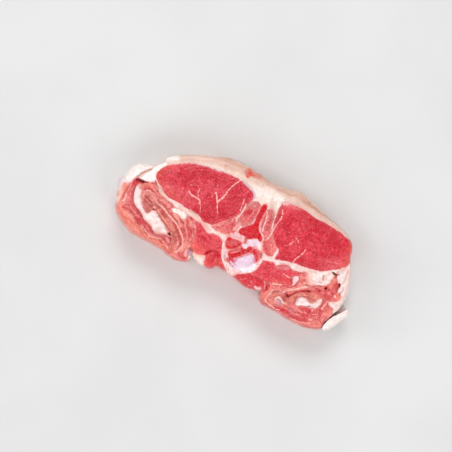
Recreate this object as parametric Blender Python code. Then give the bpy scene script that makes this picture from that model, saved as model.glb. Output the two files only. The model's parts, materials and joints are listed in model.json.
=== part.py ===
"""A raw double loin chop of lamb, sawn square across the loin and lying flat on one cut face.

The saw passes through both loins at once, so the slice holds one lumbar vertebra with its spine, a large
loin eye on each side of it, the small muscles beside the spine, the two tenderloins under the fat seams and
the two thin flanks, which are rolled in under the loins. A fat cover runs along the back edge.

Every piece runs through the whole thickness of the slice, so each one is drawn as an outline in the plane
of the cut and carried down to the other cut face. Outlines are closed curves through a few named points, in
millimetres: X runs across the two loins from the left flank to the right one, Y runs from the belly side to
the back, and the point (0, 0) is on the midline at the root of the vertebra's spine. A piece nearer the top
of PIECES keeps its whole outline, and a piece further down gives way to it.
"""

import math

import bpy
import bmesh

MM = 0.001

# The chop as a whole
THICK = 26.0  # cut face to cut face
GAP = 0.30  # skin of connective tissue left between two neighbouring pieces
GROOVE = 0.35  # how far each piece's rim falls back at the upper cut face
GROOVE_DEPTH = 0.45
WELD = 0.02  # points nearer than this are one point
STEP = 3.2  # longest stretch of an outline that stays straight
LEAN_OUT = 1.02  # the wall's widest level lies this much outside what shows at the upper face
CENTRE = (-16.0, 0.0)  # the wall leans outward from here
MIDLINE = (6.16, -1.95)  # where the midline point stands in the finished part's frame

# How the outer wall falls away: height as a part of the thickness, and how far out it has come by then
WALL = (
    (1.00, 0.00),
    (0.93, 0.32),
    (0.72, 0.78),
    (0.42, 1.00),
    (0.10, 0.94),
    (0.00, 0.70),
)

# Outer edge of the slice without the loose tab: x, y, and the breadth of wall that shows from above
EDGE = (
    (-87.6, -3.0, 2.6), (-86.6, -0.4, 2.0), (-85.0, 0.6, 1.6), (-83.6, 5.6, 1.5), (-81.3, 10.0, 1.4),
    (-74.0, 13.2, 1.2), (-67.2, 17.8, 1.0), (-66.7, 21.4, 1.1), (-60.5, 26.2, 1.5), (-50.0, 31.4, 1.6),
    (-41.0, 35.2, 2.2), (-33.5, 38.2, 4.0), (-22.0, 39.0, 4.6), (-10.0, 37.7, 4.0), (-2.5, 36.3, 3.2),
    (8.0, 36.9, 4.0), (16.5, 38.5, 5.2), (25.0, 36.3, 4.2), (37.0, 32.6, 2.2), (50.0, 28.8, 1.2),
    (57.4, 24.3, 1.0), (61.0, 15.4, 1.0), (63.2, 11.6, 1.2), (67.6, 1.0, 1.7), (69.0, -9.0, 1.8),
    (67.6, -16.6, 1.0), (65.4, -22.0, 0.4), (63.5, -26.5, 0.3), (63.0, -30.8, 0.6), (57.0, -34.0, 1.7),
    (46.0, -35.2, 1.8), (34.0, -34.0, 1.8), (24.0, -33.2, 1.8), (20.6, -29.8, 1.3), (20.0, -27.1, 0.7),
    (12.0, -28.4, 1.3), (3.0, -26.8, 1.2), (-5.5, -25.2, 1.0), (-10.6, -24.7, 0.8), (-13.0, -27.5, 1.1),
    (-20.5, -28.3, 1.2), (-24.4, -26.9, 0.9), (-26.8, -25.0, 0.4), (-27.0, -28.6, 0.7), (-29.5, -31.0, 1.3),
    (-37.5, -32.4, 1.6), (-45.0, -30.4, 2.1), (-58.0, -29.8, 3.2), (-68.4, -28.9, 3.2), (-76.8, -24.2, 2.6),
    (-81.4, -20.0, 2.2), (-85.0, -12.0, 2.6),
)

# The strip of fat that hangs loose beside the right flank: it has an edge of its own
TAB_EDGE = (
    (72.6, -12.8, 0.9), (74.9, -15.2, 0.9), (72.5, -21.0, 0.9), (68.4, -28.3, 0.9), (65.6, -31.1, 0.9),
    (63.8, -30.6, 0.3), (64.0, -26.2, 0.2), (65.6, -22.6, 0.3), (69.4, -16.6, 0.8),
)

# Bone and cartilage
DISC = (
    (4.4, -8.4), (7.0, -9.0), (9.6, -11.9), (11.3, -12.8), (10.8, -16.6), (7.2, -19.9), (1.6, -21.3),
    (-3.6, -19.4), (-4.4, -16.8), (-0.6, -13.4), (1.8, -11.2),
)
VERTEBRA = (
    (-1.9, 20.5), (0.2, 23.0), (2.0, 20.5), (1.7, 14.0), (2.4, 9.6), (4.4, 6.2), (7.6, 4.1), (8.6, 0.4),
    (10.0, -3.2), (12.4, -6.8), (13.0, -10.6), (11.8, -16.8), (8.4, -20.5), (2.4, -24.2), (0.4, -27.4),
    (-3.6, -28.4), (-5.1, -24.6), (-8.6, -20.2), (-12.2, -14.6), (-13.5, -9.4), (-12.6, -5.0), (-9.6, -2.2),
    (-8.7, 1.8), (-6.4, 4.5), (-3.2, 7.0), (-1.9, 11.5),
)

# The loin eyes
EYE_LEFT = (
    (-67.9, 10.0), (-65.8, 15.4), (-59.0, 21.0), (-50.4, 25.4), (-40.0, 27.6), (-30.5, 28.7), (-22.0, 29.2),
    (-15.0, 27.1), (-9.4, 24.5), (-8.3, 21.2), (-10.4, 17.2), (-11.1, 13.0), (-12.8, 8.7), (-17.5, 3.1),
    (-21.6, -1.0), (-24.6, -3.4), (-30.0, -3.3), (-34.0, -1.5), (-46.1, -0.15), (-57.7, 1.1), (-62.3, 4.6),
    (-66.6, 7.2),
)
EYE_RIGHT = (
    (8.2, 24.0), (9.6, 28.2), (16.3, 29.5), (22.5, 29.6), (32.5, 28.2), (41.8, 27.8), (51.1, 26.2),
    (57.0, 23.8), (59.9, 17.8), (61.1, 11.3), (58.1, 7.4), (52.5, 3.2), (46.4, 0.05), (37.2, -1.4),
    (30.2, -2.5), (23.0, -4.2), (19.6, -4.6), (19.4, 0.2), (16.0, 3.0), (12.4, 7.2), (11.0, 11.0),
    (9.2, 15.8), (8.4, 20.4),
)

# The small muscles beside the spine
MULTIFIDUS_LEFT_INNER = (
    (-8.4, 20.2), (-5.4, 21.6), (-2.6, 20.9), (-1.5, 15.0), (-1.9, 10.0), (-4.6, 5.6), (-8.0, 3.9),
    (-10.8, 5.0), (-11.4, 9.0), (-10.8, 13.2), (-10.2, 17.8),
)
MULTIFIDUS_LEFT_OUTER = (
    (-11.4, 8.4), (-10.6, 4.6), (-8.6, 2.6), (-9.2, -2.0), (-12.4, -4.2), (-18.0, -5.2), (-24.0, -4.2),
    (-22.2, -1.2), (-18.6, 2.2), (-15.0, 5.9), (-12.8, 8.8),
)
MULTIFIDUS_RIGHT_INNER = (
    (3.0, 20.8), (5.2, 21.5), (7.4, 19.6), (9.2, 14.6), (10.9, 9.4), (10.7, 5.0), (9.4, 2.7), (7.4, 3.6),
    (4.2, 6.0), (2.2, 9.4), (1.4, 13.6), (1.7, 18.6),
)
MULTIFIDUS_RIGHT_OUTER = (
    (11.4, 8.0), (14.4, 5.4), (17.6, 2.2), (18.0, -1.4), (17.3, -4.6), (13.6, -5.2), (10.2, -3.2),
    (8.3, -0.2), (8.7, 2.4), (10.4, 5.4),
)

# The muscles under the backbone
PSOAS_LEFT = (
    (-19.5, -20.2), (-17.2, -17.8), (-12.0, -16.6), (-8.2, -19.8), (-4.8, -23.8), (-4.6, -27.5),
    (-9.0, -30.5), (-17.6, -31.5), (-18.0, -27.0), (-19.0, -23.0),
)
PSOAS_RIGHT = (
    (-0.6, -25.2), (4.0, -22.4), (8.7, -19.5), (15.0, -19.8), (19.6, -19.8), (21.8, -22.4), (21.4, -25.2),
    (20.0, -26.8), (20.0, -31.0), (10.0, -32.5), (0.0, -29.0),
)
TENDERLOIN_LEFT = (
    (-34.4, -5.0), (-28.6, -6.0), (-24.5, -8.6), (-20.6, -7.5), (-16.4, -7.7), (-13.4, -10.2),
    (-11.4, -15.2), (-11.2, -18.0), (-16.8, -18.8), (-19.4, -21.5), (-23.2, -22.7), (-26.6, -22.7),
    (-29.4, -19.6), (-30.5, -13.6), (-32.2, -9.0),
)
TENDERLOIN_RIGHT = (
    (12.0, -10.5), (14.2, -8.5), (19.0, -7.4), (22.0, -8.1), (25.2, -5.7), (29.0, -5.0), (32.0, -6.1),
    (36.8, -5.8), (37.2, -8.6), (36.2, -12.0), (35.4, -15.4), (30.0, -17.0), (25.0, -18.6), (21.4, -20.6),
    (14.0, -20.6), (9.8, -20.6), (11.4, -15.2),
)

# Fat: the lumps and wedges between the muscles
FAT_SLIVER_RIGHT = ((34.6, -9.6), (36.6, -8.0), (38.1, -9.4), (37.8, -12.6), (36.3, -15.2), (35.2, -12.8))
FAT_LUMP_LEFT = (
    (-28.4, -23.4), (-25.4, -22.0), (-19.8, -20.8), (-17.8, -24.6), (-17.2, -31.5), (-22.0, -32.0),
    (-28.0, -28.0),
)
FAT_CHUNK_RIGHT = (
    (42.5, -20.4), (44.4, -18.7), (46.8, -18.2), (50.2, -19.7), (52.6, -17.4), (56.0, -14.5), (56.8, -17.2),
    (55.0, -20.8), (51.6, -22.1), (47.0, -23.5), (43.6, -24.9), (42.4, -23.0),
)
FAT_NODULE_LEFT = (
    (-50.4, -5.2), (-48.4, -3.5), (-43.6, -3.2), (-40.4, -4.2), (-39.8, -6.8), (-41.2, -7.9), (-45.0, -6.8),
    (-49.2, -6.5),
)
FAT_NODULE_RIGHT = ((30.3, -26.8), (31.6, -24.5), (34.2, -25.2), (36.3, -26.8), (34.8, -28.5), (31.8, -28.9))
FAT_CORE_LEFT = (
    (-74.2, 0.6), (-75.7, -2.6), (-75.0, -6.6), (-73.2, -11.0), (-70.6, -13.2), (-66.8, -15.0),
    (-62.6, -18.3), (-57.6, -19.7), (-54.6, -21.8), (-51.8, -22.9), (-48.2, -21.5), (-45.5, -20.2),
    (-47.6, -17.5), (-53.0, -13.8), (-58.8, -10.5), (-60.8, -11.4), (-62.8, -13.9), (-65.4, -12.2),
    (-69.6, -7.6), (-71.6, -3.2), (-72.8, 0.1),
)
FAT_SEAM_LEFT = (
    (-66.4, 7.4), (-64.6, 3.9), (-61.4, 0.4), (-56.6, -1.3), (-50.2, -2.6), (-47.6, -4.3), (-42.0, -4.4),
    (-37.6, -4.3), (-31.6, -5.6), (-27.0, -7.5), (-24.5, -9.2), (-20.2, -8.2), (-15.8, -8.7), (-13.4, -8.8),
    (-11.9, -6.4), (-12.4, -3.0), (-18.0, -1.8), (-24.0, 0.0), (-34.0, 1.0), (-46.0, 3.0), (-56.0, 4.0),
    (-62.0, 7.0),
)
FAT_SEAM_RIGHT = (
    (11.4, -5.0), (12.6, -10.6), (16.0, -8.7), (20.0, -8.2), (22.6, -8.7), (27.0, -5.9), (33.0, -6.2),
    (37.4, -5.0), (40.2, -3.7), (41.9, -5.4), (44.0, -8.4), (46.2, -9.1), (51.0, -7.6), (55.0, -5.8),
    (56.0, -1.8), (57.0, 3.4), (59.6, 8.0), (58.4, 10.0), (50.0, 5.0), (36.0, 1.2), (25.0, -1.0),
    (20.0, 2.2), (17.4, 1.0), (16.6, -3.6), (13.5, -3.8),
)
FAT_EDGE_LEFT = (
    (-70.8, 19.0), (-71.4, 12.0), (-74.6, 8.4), (-76.6, 4.2), (-78.7, 2.0), (-79.5, -1.6), (-81.6, -2.8),
    (-83.5, -4.2), (-82.9, -8.6), (-81.1, -15.4), (-80.0, -22.6), (-86.0, -26.0), (-95.0, -6.0),
    (-90.0, 12.0), (-80.0, 19.0),
)
FAT_EDGE_RIGHT = (
    (61.5, 13.8), (60.8, 9.4), (57.5, 5.0), (58.4, 1.0), (60.2, -1.2), (61.9, -1.5), (62.3, -4.4),
    (62.3, -6.2), (64.6, -6.6), (66.0, -9.0), (63.8, -12.3), (60.2, -14.5), (61.6, -16.0), (64.4, -16.8),
    (66.4, -20.6), (74.0, -22.0), (76.0, -6.0), (72.0, 8.0), (67.0, 16.0),
)
FAT_COVER = (
    (-70.9, 22.0), (-71.6, 12.0), (-74.8, 8.4), (-77.0, 4.4), (-76.0, 3.2), (-70.6, 3.4), (-67.4, 4.6),
    (-65.6, 7.2), (-60.0, 12.0), (-50.0, 19.0), (-20.0, 21.0), (-7.0, 17.5), (7.0, 17.5), (20.0, 22.0),
    (45.0, 22.0), (56.0, 18.0), (60.0, 12.6), (63.0, 13.4), (68.0, 18.0), (62.0, 32.0), (18.0, 48.0),
    (-20.0, 48.0), (-50.0, 42.0), (-68.0, 30.0),
)

# The flanks, a few thin sheets of lean each, rolled in under the loins
FLAP_LEFT_OUTER = (
    (-80.0, -2.2), (-79.1, -7.0), (-78.4, -12.8), (-77.2, -16.2), (-72.6, -17.3), (-67.2, -20.7),
    (-61.2, -23.1), (-55.6, -25.5), (-48.4, -24.6), (-43.6, -26.6), (-38.8, -29.8), (-37.0, -37.0),
    (-60.0, -35.0), (-76.0, -33.0), (-86.0, -22.0), (-88.0, -8.0), (-84.0, -1.8),
)
FLAP_LEFT_MIDDLE = (
    (-79.8, 3.0), (-75.8, 3.6), (-74.2, 0.6), (-72.0, -8.0), (-64.0, -14.8), (-54.0, -18.6), (-46.6, -19.4),
    (-42.8, -20.8), (-40.9, -23.4), (-42.0, -27.4), (-50.0, -27.0), (-58.0, -27.0), (-66.0, -24.0),
    (-72.0, -20.0), (-79.0, -18.0), (-80.5, -10.0), (-80.6, -3.0),
)
FLAP_LEFT_INNER = (
    (-72.0, -3.0), (-65.8, -1.0), (-60.0, -4.2), (-52.0, -8.4), (-43.2, -13.1), (-37.8, -16.9),
    (-35.2, -21.2), (-35.4, -25.6), (-38.4, -28.4), (-42.0, -28.2), (-41.7, -24.0), (-43.0, -20.8),
    (-46.0, -19.4), (-48.0, -19.2), (-55.0, -14.6), (-60.0, -12.8), (-62.4, -16.0), (-66.0, -14.0),
    (-70.2, -9.0), (-72.4, -5.5),
)
FLAP_LEFT_UPPER = (
    (-75.6, 2.4), (-69.6, 3.3), (-65.8, 5.6), (-61.2, 1.8), (-50.0, -1.8), (-40.0, -3.0), (-33.5, -4.0),
    (-29.5, -9.5), (-27.0, -20.0), (-26.6, -24.6), (-25.4, -27.5), (-25.6, -34.0), (-36.8, -37.0),
    (-39.0, -30.5), (-44.0, -24.0), (-48.0, -14.0), (-60.0, -6.0), (-68.0, -4.5), (-73.0, -3.0),
    (-75.4, 0.0),
)
FLAP_RIGHT_UPPER = (
    (36.4, -5.2), (39.6, -2.8), (46.0, -6.5), (52.0, -5.0), (55.4, -1.0), (57.4, 5.6), (60.6, 1.0),
    (67.0, -9.0), (64.4, -12.8), (60.4, -14.8), (57.0, -13.9), (51.8, -15.2), (47.8, -13.5), (43.9, -15.0),
    (39.6, -19.2), (36.0, -21.6), (32.4, -20.5), (25.4, -17.6), (28.0, -15.6), (34.0, -14.5),
    (36.8, -11.0), (36.6, -8.0),
)
FLAP_RIGHT_INNER = (
    (34.0, -20.6), (37.4, -20.6), (43.2, -14.6), (48.0, -12.7), (52.0, -14.3), (56.8, -13.4), (56.8, -16.0),
    (53.0, -20.2), (46.0, -22.2), (42.6, -24.8), (37.4, -25.9), (35.4, -29.0), (31.4, -30.7),
    (27.4, -29.6), (25.6, -26.0), (27.0, -22.2), (30.2, -20.7),
)
FLAP_RIGHT_OUTER = (
    (21.6, -19.9), (25.0, -18.0), (30.0, -18.4), (36.4, -20.6), (44.0, -13.6), (51.0, -13.6), (58.0, -12.8),
    (62.6, -15.4), (67.0, -17.6), (66.6, -24.0), (65.4, -34.0), (58.0, -39.0), (40.0, -41.0),
    (22.0, -38.0), (15.5, -32.0), (18.4, -27.6), (20.8, -26.0), (21.2, -23.4),
)

FAT, EYE, SMALL, LOWER, FLANK, BONE, GRISTLE = (
    "fat", "lean_eye", "lean_beside_spine", "lean_tenderloin", "lean_flank", "bone", "cartilage",
)

# Colour and roughness of each tissue
TISSUES = {
    FAT: ((0.93, 0.82, 0.75), 0.50),
    EYE: ((0.62, 0.05, 0.07), 0.42),
    SMALL: ((0.66, 0.13, 0.13), 0.44),
    LOWER: ((0.67, 0.08, 0.09), 0.42),
    FLANK: ((0.74, 0.20, 0.16), 0.46),
    BONE: ((0.84, 0.62, 0.60), 0.52),
    GRISTLE: ((0.84, 0.78, 0.84), 0.38),
}

# Name, outline, tissue, and how far the piece stands above or below the plane of the cut
PIECES = (
    ("fat_tab_right", None, FAT, -1.2),
    ("cartilage_disc", DISC, GRISTLE, -0.5),
    ("vertebra", VERTEBRA, BONE, -0.3),
    ("loin_eye_left", EYE_LEFT, EYE, 0.4),
    ("loin_eye_right", EYE_RIGHT, EYE, 0.4),
    ("multifidus_left_inner", MULTIFIDUS_LEFT_INNER, SMALL, 0.2),
    ("multifidus_right_inner", MULTIFIDUS_RIGHT_INNER, SMALL, 0.2),
    ("multifidus_left_outer", MULTIFIDUS_LEFT_OUTER, SMALL, 0.1),
    ("multifidus_right_outer", MULTIFIDUS_RIGHT_OUTER, SMALL, 0.1),
    ("psoas_minor_left", PSOAS_LEFT, LOWER, -0.8),
    ("psoas_minor_right", PSOAS_RIGHT, LOWER, -0.9),
    ("fat_sliver_right", FAT_SLIVER_RIGHT, FAT, 0.3),
    ("tenderloin_left", TENDERLOIN_LEFT, LOWER, 0.2),
    ("tenderloin_right", TENDERLOIN_RIGHT, LOWER, 0.2),
    ("fat_lump_left", FAT_LUMP_LEFT, FAT, -0.6),
    ("fat_edge_left", FAT_EDGE_LEFT, FAT, 0.0),
    ("fat_edge_right", FAT_EDGE_RIGHT, FAT, 0.1),
    ("fat_chunk_right", FAT_CHUNK_RIGHT, FAT, 0.3),
    ("fat_nodule_left", FAT_NODULE_LEFT, FAT, 0.2),
    ("fat_nodule_right", FAT_NODULE_RIGHT, FAT, -0.2),
    ("fat_core_left", FAT_CORE_LEFT, FAT, 0.3),
    ("fat_seam_left", FAT_SEAM_LEFT, FAT, -0.1),
    ("fat_seam_right", FAT_SEAM_RIGHT, FAT, -0.1),
    ("fat_cover", FAT_COVER, FAT, 0.0),
    ("flap_left_outer", FLAP_LEFT_OUTER, FLANK, -0.6),
    ("flap_left_inner", FLAP_LEFT_INNER, FLANK, -0.2),
    ("flap_left_middle", FLAP_LEFT_MIDDLE, FLANK, -0.4),
    ("flap_left_upper", FLAP_LEFT_UPPER, FLANK, -0.2),
    ("flap_right_upper", FLAP_RIGHT_UPPER, FLANK, -0.3),
    ("flap_right_inner", FLAP_RIGHT_INNER, FLANK, -0.6),
    ("flap_right_outer", FLAP_RIGHT_OUTER, FLANK, -0.4),
)


def closed_curve(points, step=STEP):
    """Points along a smooth closed curve through the given points, which may carry a third value each."""
    count = len(points)
    found = []
    for i in range(count):
        p0, p1, p2, p3 = (points[(i + k) % count] for k in (-1, 0, 1, 2))
        t = [0.0]
        for a, b in ((p0, p1), (p1, p2), (p2, p3)):
            t.append(t[-1] + max(math.hypot(b[0] - a[0], b[1] - a[1]), 1e-6) ** 0.5)
        pieces = max(1, math.ceil(math.hypot(p2[0] - p1[0], p2[1] - p1[1]) / step))
        for j in range(pieces):
            u = t[1] + (t[2] - t[1]) * j / pieces
            row = []
            for v0, v1, v2, v3 in zip(p0, p1, p2, p3):
                a1 = ((t[1] - u) * v0 + (u - t[0]) * v1) / (t[1] - t[0])
                a2 = ((t[2] - u) * v1 + (u - t[1]) * v2) / (t[2] - t[1])
                a3 = ((t[3] - u) * v2 + (u - t[2]) * v3) / (t[3] - t[2])
                b1 = ((t[2] - u) * a1 + (u - t[0]) * a2) / (t[2] - t[0])
                b2 = ((t[3] - u) * a2 + (u - t[1]) * a3) / (t[3] - t[1])
                row.append(((t[2] - u) * b1 + (u - t[1]) * b2) / (t[2] - t[1]))
            found.append(tuple(row))
    return found


def turned_left(points):
    """The same points, going anticlockwise."""
    area = sum(a[0] * b[1] - b[0] * a[1] for a, b in zip(points, points[1:] + points[:1]))
    return points if area > 0 else points[::-1]


def outward(points):
    """A unit vector pointing out of an anticlockwise outline at each of its points, with the mitre length."""
    count = len(points)
    found = []
    for i in range(count):
        a, b, c = points[i - 1], points[i], points[(i + 1) % count]
        n1 = (b[1] - a[1], a[0] - b[0])
        n2 = (c[1] - b[1], b[0] - c[0])
        l1, l2 = math.hypot(*n1), math.hypot(*n2)
        n = (n1[0] / l1 + n2[0] / l2, n1[1] / l1 + n2[1] / l2)
        size = max(math.hypot(*n), 1e-6)
        half = max(size / 2, 0.7)
        found.append((n[0] / size, n[1] / size, 1 / half))
    return found


def loft(name, rings):
    """A closed solid through rings of equal count, from the bottom up, each a list of (x, y, z) in millimetres."""
    bm = bmesh.new()
    rows = [[bm.verts.new((x * MM, y * MM, z * MM)) for x, y, z in ring] for ring in rings]
    count = len(rows[0])
    for low, high in zip(rows, rows[1:]):
        for i in range(count):
            j = (i + 1) % count
            bm.faces.new((low[i], low[j], high[j], high[i]))
    bm.faces.new(rows[0][::-1])
    bm.faces.new(rows[-1])
    bmesh.ops.triangulate(bm, faces=[f for f in bm.faces if len(f.verts) > 4])
    bmesh.ops.recalc_face_normals(bm, faces=bm.faces)
    mesh = bpy.data.meshes.new(name)
    bm.to_mesh(mesh)
    bm.free()
    thing = bpy.data.objects.new(name, mesh)
    bpy.context.scene.collection.objects.link(thing)
    return thing


def moved(x, y):
    return x + MIDLINE[0], y + MIDLINE[1]


def slab(name, edge, height):
    """The whole slice inside one edge: a flat face above and below, and a wall that leans out between them."""
    points = turned_left(closed_curve(edge))
    ways = outward(points)
    rings = []
    for level, out in reversed(WALL):
        ring = []
        for (x, y, breadth), (nx, ny, mitre) in zip(points, ways):
            top = (x - nx * breadth * mitre, y - ny * breadth * mitre)
            wide = (
                CENTRE[0] + (x - CENTRE[0]) * LEAN_OUT,
                CENTRE[1] + (y - CENTRE[1]) * LEAN_OUT,
            )
            px, py = moved(top[0] + (wide[0] - top[0]) * out, top[1] + (wide[1] - top[1]) * out)
            ring.append((px, py, level * height))
        rings.append(ring)
    return loft(name, rings)


def prism(name, outline, grow, height):
    """A straight cutter over one outline, with its rim falling back where it meets the upper face."""
    points = turned_left(closed_curve(outline))
    ways = outward(points)
    rings = []
    for z, more in (
        (-3.0, 0.0),
        (height - GROOVE_DEPTH, 0.0),
        (height + 0.02, GROOVE if grow > 0 else -GROOVE),
        (height + 3.0, GROOVE if grow > 0 else -GROOVE),
    ):
        ring = []
        for (x, y), (nx, ny, mitre) in zip(points, ways):
            by = (grow + more) * mitre
            ring.append((*moved(x + nx * by, y + ny * by), z))
        rings.append(ring)
    return loft(name, rings)


def span(outline, margin=1.5):
    xs, ys = [p[0] for p in outline], [p[1] for p in outline]
    return min(xs) - margin, min(ys) - margin, max(xs) + margin, max(ys) + margin


def near(a, b):
    return a[0] < b[2] and b[0] < a[2] and a[1] < b[3] and b[1] < a[3]


def combine(thing, other, operation):
    modifier = thing.modifiers.new(operation, "BOOLEAN")
    modifier.object = other
    modifier.operation = operation
    modifier.solver = "EXACT"
    modifier.use_self = True
    bpy.context.view_layer.update()
    graph = bpy.context.evaluated_depsgraph_get()
    mesh = bpy.data.meshes.new_from_object(thing.evaluated_get(graph), depsgraph=graph)
    thing.modifiers.clear()
    old = thing.data
    thing.data = mesh
    bpy.data.meshes.remove(old)
    helper = other.data
    bpy.data.objects.remove(other)
    bpy.data.meshes.remove(helper)


def tidy(bm):
    """Welds points that fall together and closes the pinholes that welding leaves."""
    bmesh.ops.remove_doubles(bm, verts=bm.verts, dist=WELD * MM)
    bmesh.ops.dissolve_degenerate(bm, edges=bm.edges, dist=WELD * MM)
    bmesh.ops.triangulate(bm, faces=bm.faces)
    pairs = {}
    for face in bm.faces:
        pairs.setdefault(frozenset(face.verts), []).append(face)
    folded = [face for group in pairs.values() if len(group) > 1 for face in group]
    bmesh.ops.delete(bm, geom=folded, context="FACES_ONLY")
    loose = [edge for edge in bm.edges if not edge.link_faces]
    bmesh.ops.delete(bm, geom=loose, context="EDGES")
    bmesh.ops.holes_fill(bm, edges=[edge for edge in bm.edges if len(edge.link_faces) == 1], sides=8)


def keep_largest(thing):
    """Takes away the crumbs that a cut has left beside the piece."""
    bm = bmesh.new()
    bm.from_mesh(thing.data)
    tidy(bm)
    left = set(bm.verts)
    groups = []
    while left:
        start = left.pop()
        group, stack = {start}, [start]
        while stack:
            for edge in stack.pop().link_edges:
                for vert in edge.verts:
                    if vert in left:
                        left.discard(vert)
                        group.add(vert)
                        stack.append(vert)
        groups.append(group)
    groups.sort(key=len, reverse=True)
    for group in groups[1:]:
        bmesh.ops.delete(bm, geom=list(group), context="VERTS")
    bmesh.ops.triangulate(bm, faces=bm.faces)
    bmesh.ops.recalc_face_normals(bm, faces=bm.faces)
    bm.to_mesh(thing.data)
    bm.free()


def tissue(name):
    colour, roughness = TISSUES[name]
    material = bpy.data.materials.new(name)
    material.use_nodes = True
    shader = material.node_tree.nodes["Principled BSDF"]
    shader.inputs["Base Color"].default_value = (*colour, 1.0)
    shader.inputs["Roughness"].default_value = roughness
    return material


def build():
    for thing in list(bpy.data.objects):
        bpy.data.objects.remove(thing)
    materials = {name: tissue(name) for name in TISSUES}
    above = []
    for name, outline, kind, rise in PIECES:
        height = THICK + rise
        if outline is None:
            thing = slab(name, TAB_EDGE, height)
        else:
            thing = slab(name, EDGE, height)
            combine(thing, prism(name + "_form", outline, 0.0, height), "INTERSECT")
            for other in above:
                if near(span(outline), span(other)):
                    combine(thing, prism(name + "_cut", other, GAP, height), "DIFFERENCE")
            above.append(outline)
        keep_largest(thing)
        thing.data.name = name
        thing.data.materials.clear()
        thing.data.materials.append(materials[kind])


build()
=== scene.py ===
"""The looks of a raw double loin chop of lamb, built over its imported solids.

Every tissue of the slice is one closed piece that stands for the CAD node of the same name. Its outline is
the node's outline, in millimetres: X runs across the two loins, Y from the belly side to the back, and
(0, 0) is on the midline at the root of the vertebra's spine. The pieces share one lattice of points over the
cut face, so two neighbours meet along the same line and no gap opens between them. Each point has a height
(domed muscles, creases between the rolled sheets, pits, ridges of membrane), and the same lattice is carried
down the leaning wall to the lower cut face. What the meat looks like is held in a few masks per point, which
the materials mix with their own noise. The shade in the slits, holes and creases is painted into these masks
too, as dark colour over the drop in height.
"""

import json
import math

import bpy
import numpy as np
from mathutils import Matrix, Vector
from mathutils.kdtree import KDTree

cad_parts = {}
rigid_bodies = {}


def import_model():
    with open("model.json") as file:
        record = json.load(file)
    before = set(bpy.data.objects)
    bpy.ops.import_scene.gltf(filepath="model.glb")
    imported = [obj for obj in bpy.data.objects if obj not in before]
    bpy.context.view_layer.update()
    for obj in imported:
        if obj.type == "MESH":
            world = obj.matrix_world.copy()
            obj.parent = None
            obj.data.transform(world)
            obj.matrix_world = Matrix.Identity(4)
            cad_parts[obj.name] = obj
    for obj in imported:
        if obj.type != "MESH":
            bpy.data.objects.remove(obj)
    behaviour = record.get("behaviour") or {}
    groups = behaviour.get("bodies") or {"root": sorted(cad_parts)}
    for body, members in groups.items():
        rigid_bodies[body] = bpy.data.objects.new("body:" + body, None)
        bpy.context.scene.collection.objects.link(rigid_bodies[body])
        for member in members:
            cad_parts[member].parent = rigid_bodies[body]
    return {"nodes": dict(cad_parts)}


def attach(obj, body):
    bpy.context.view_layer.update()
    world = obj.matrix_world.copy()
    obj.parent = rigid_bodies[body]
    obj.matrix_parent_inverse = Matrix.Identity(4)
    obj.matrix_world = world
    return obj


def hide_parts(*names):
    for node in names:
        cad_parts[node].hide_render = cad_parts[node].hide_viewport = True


MM = 0.001
THICK = 26.0
LEAN_OUT = 1.02
CENTRE = (-16.0, 0.0)
MIDLINE = (6.16, -1.95)
CELL = 0.37  # distance between the lattice points over the cut faces
LEVELS = 26  # rows of points down the outer wall
COARSE = 6  # an inner wall has a row only at every COARSE-th of those levels, and at both ends
SPREAD = 11.0  # how far inward of the rim the lean of the wall is felt

# How the outer wall falls away: height as a part of the thickness, and how far out it has come by then
WALL = ((1.00, 0.00), (0.97, 0.16), (0.93, 0.33), (0.83, 0.60), (0.72, 0.78), (0.57, 0.94), (0.42, 1.00), (0.25, 0.99), (0.10, 0.92), (0.03, 0.82), (0.00, 0.68))

# Outer edge of the slice without the loose tab: x, y, and the breadth of wall that shows from above
EDGE = (
    (-87.6, -3.0, 2.6), (-86.6, -0.4, 2.0), (-85.0, 0.6, 1.6), (-83.6, 5.6, 1.5), (-81.3, 10.0, 1.4),
    (-74.0, 13.2, 1.2), (-67.2, 17.8, 1.0), (-66.7, 21.4, 1.1), (-60.5, 26.2, 1.5), (-50.0, 31.4, 1.6),
    (-41.0, 35.2, 2.2), (-33.5, 38.2, 4.0), (-22.0, 39.0, 4.6), (-10.0, 37.7, 4.0), (-2.5, 36.3, 3.2),
    (8.0, 36.9, 4.0), (16.5, 38.5, 5.2), (25.0, 36.3, 4.2), (37.0, 32.6, 2.2), (50.0, 28.8, 1.2),
    (57.4, 24.3, 1.0), (61.0, 15.4, 1.0), (63.2, 11.6, 1.2), (67.6, 1.0, 1.7), (69.0, -9.0, 1.8),
    (67.6, -16.6, 1.0), (65.4, -22.0, 0.4), (63.5, -26.5, 0.3), (63.0, -30.8, 0.6), (57.0, -34.0, 1.7),
    (46.0, -35.2, 1.8), (34.0, -34.0, 1.8), (24.0, -33.2, 1.8), (20.6, -29.8, 1.3), (20.0, -27.1, 0.7),
    (12.0, -28.4, 1.3), (3.0, -26.8, 1.2), (-5.5, -25.2, 1.0), (-10.6, -24.7, 0.8), (-13.0, -27.5, 1.1),
    (-20.5, -28.3, 1.2), (-24.4, -26.9, 0.9), (-26.8, -25.0, 0.4), (-27.0, -28.6, 0.7), (-29.5, -31.0, 1.3),
    (-37.5, -32.4, 1.6), (-45.0, -30.4, 2.1), (-58.0, -29.8, 3.2), (-68.4, -28.9, 3.2), (-76.8, -24.2, 2.6),
    (-81.4, -20.0, 2.2), (-85.0, -12.0, 2.6),
)

# The strip of fat that hangs loose beside the right flank: it has an edge of its own
TAB_EDGE = (
    (72.6, -12.8, 0.9), (74.9, -15.2, 0.9), (72.5, -21.0, 0.9), (68.4, -28.3, 0.9), (65.6, -31.1, 0.9),
    (63.8, -30.6, 0.3), (64.0, -26.2, 0.2), (65.6, -22.6, 0.3), (69.4, -16.6, 0.8),
)

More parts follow.
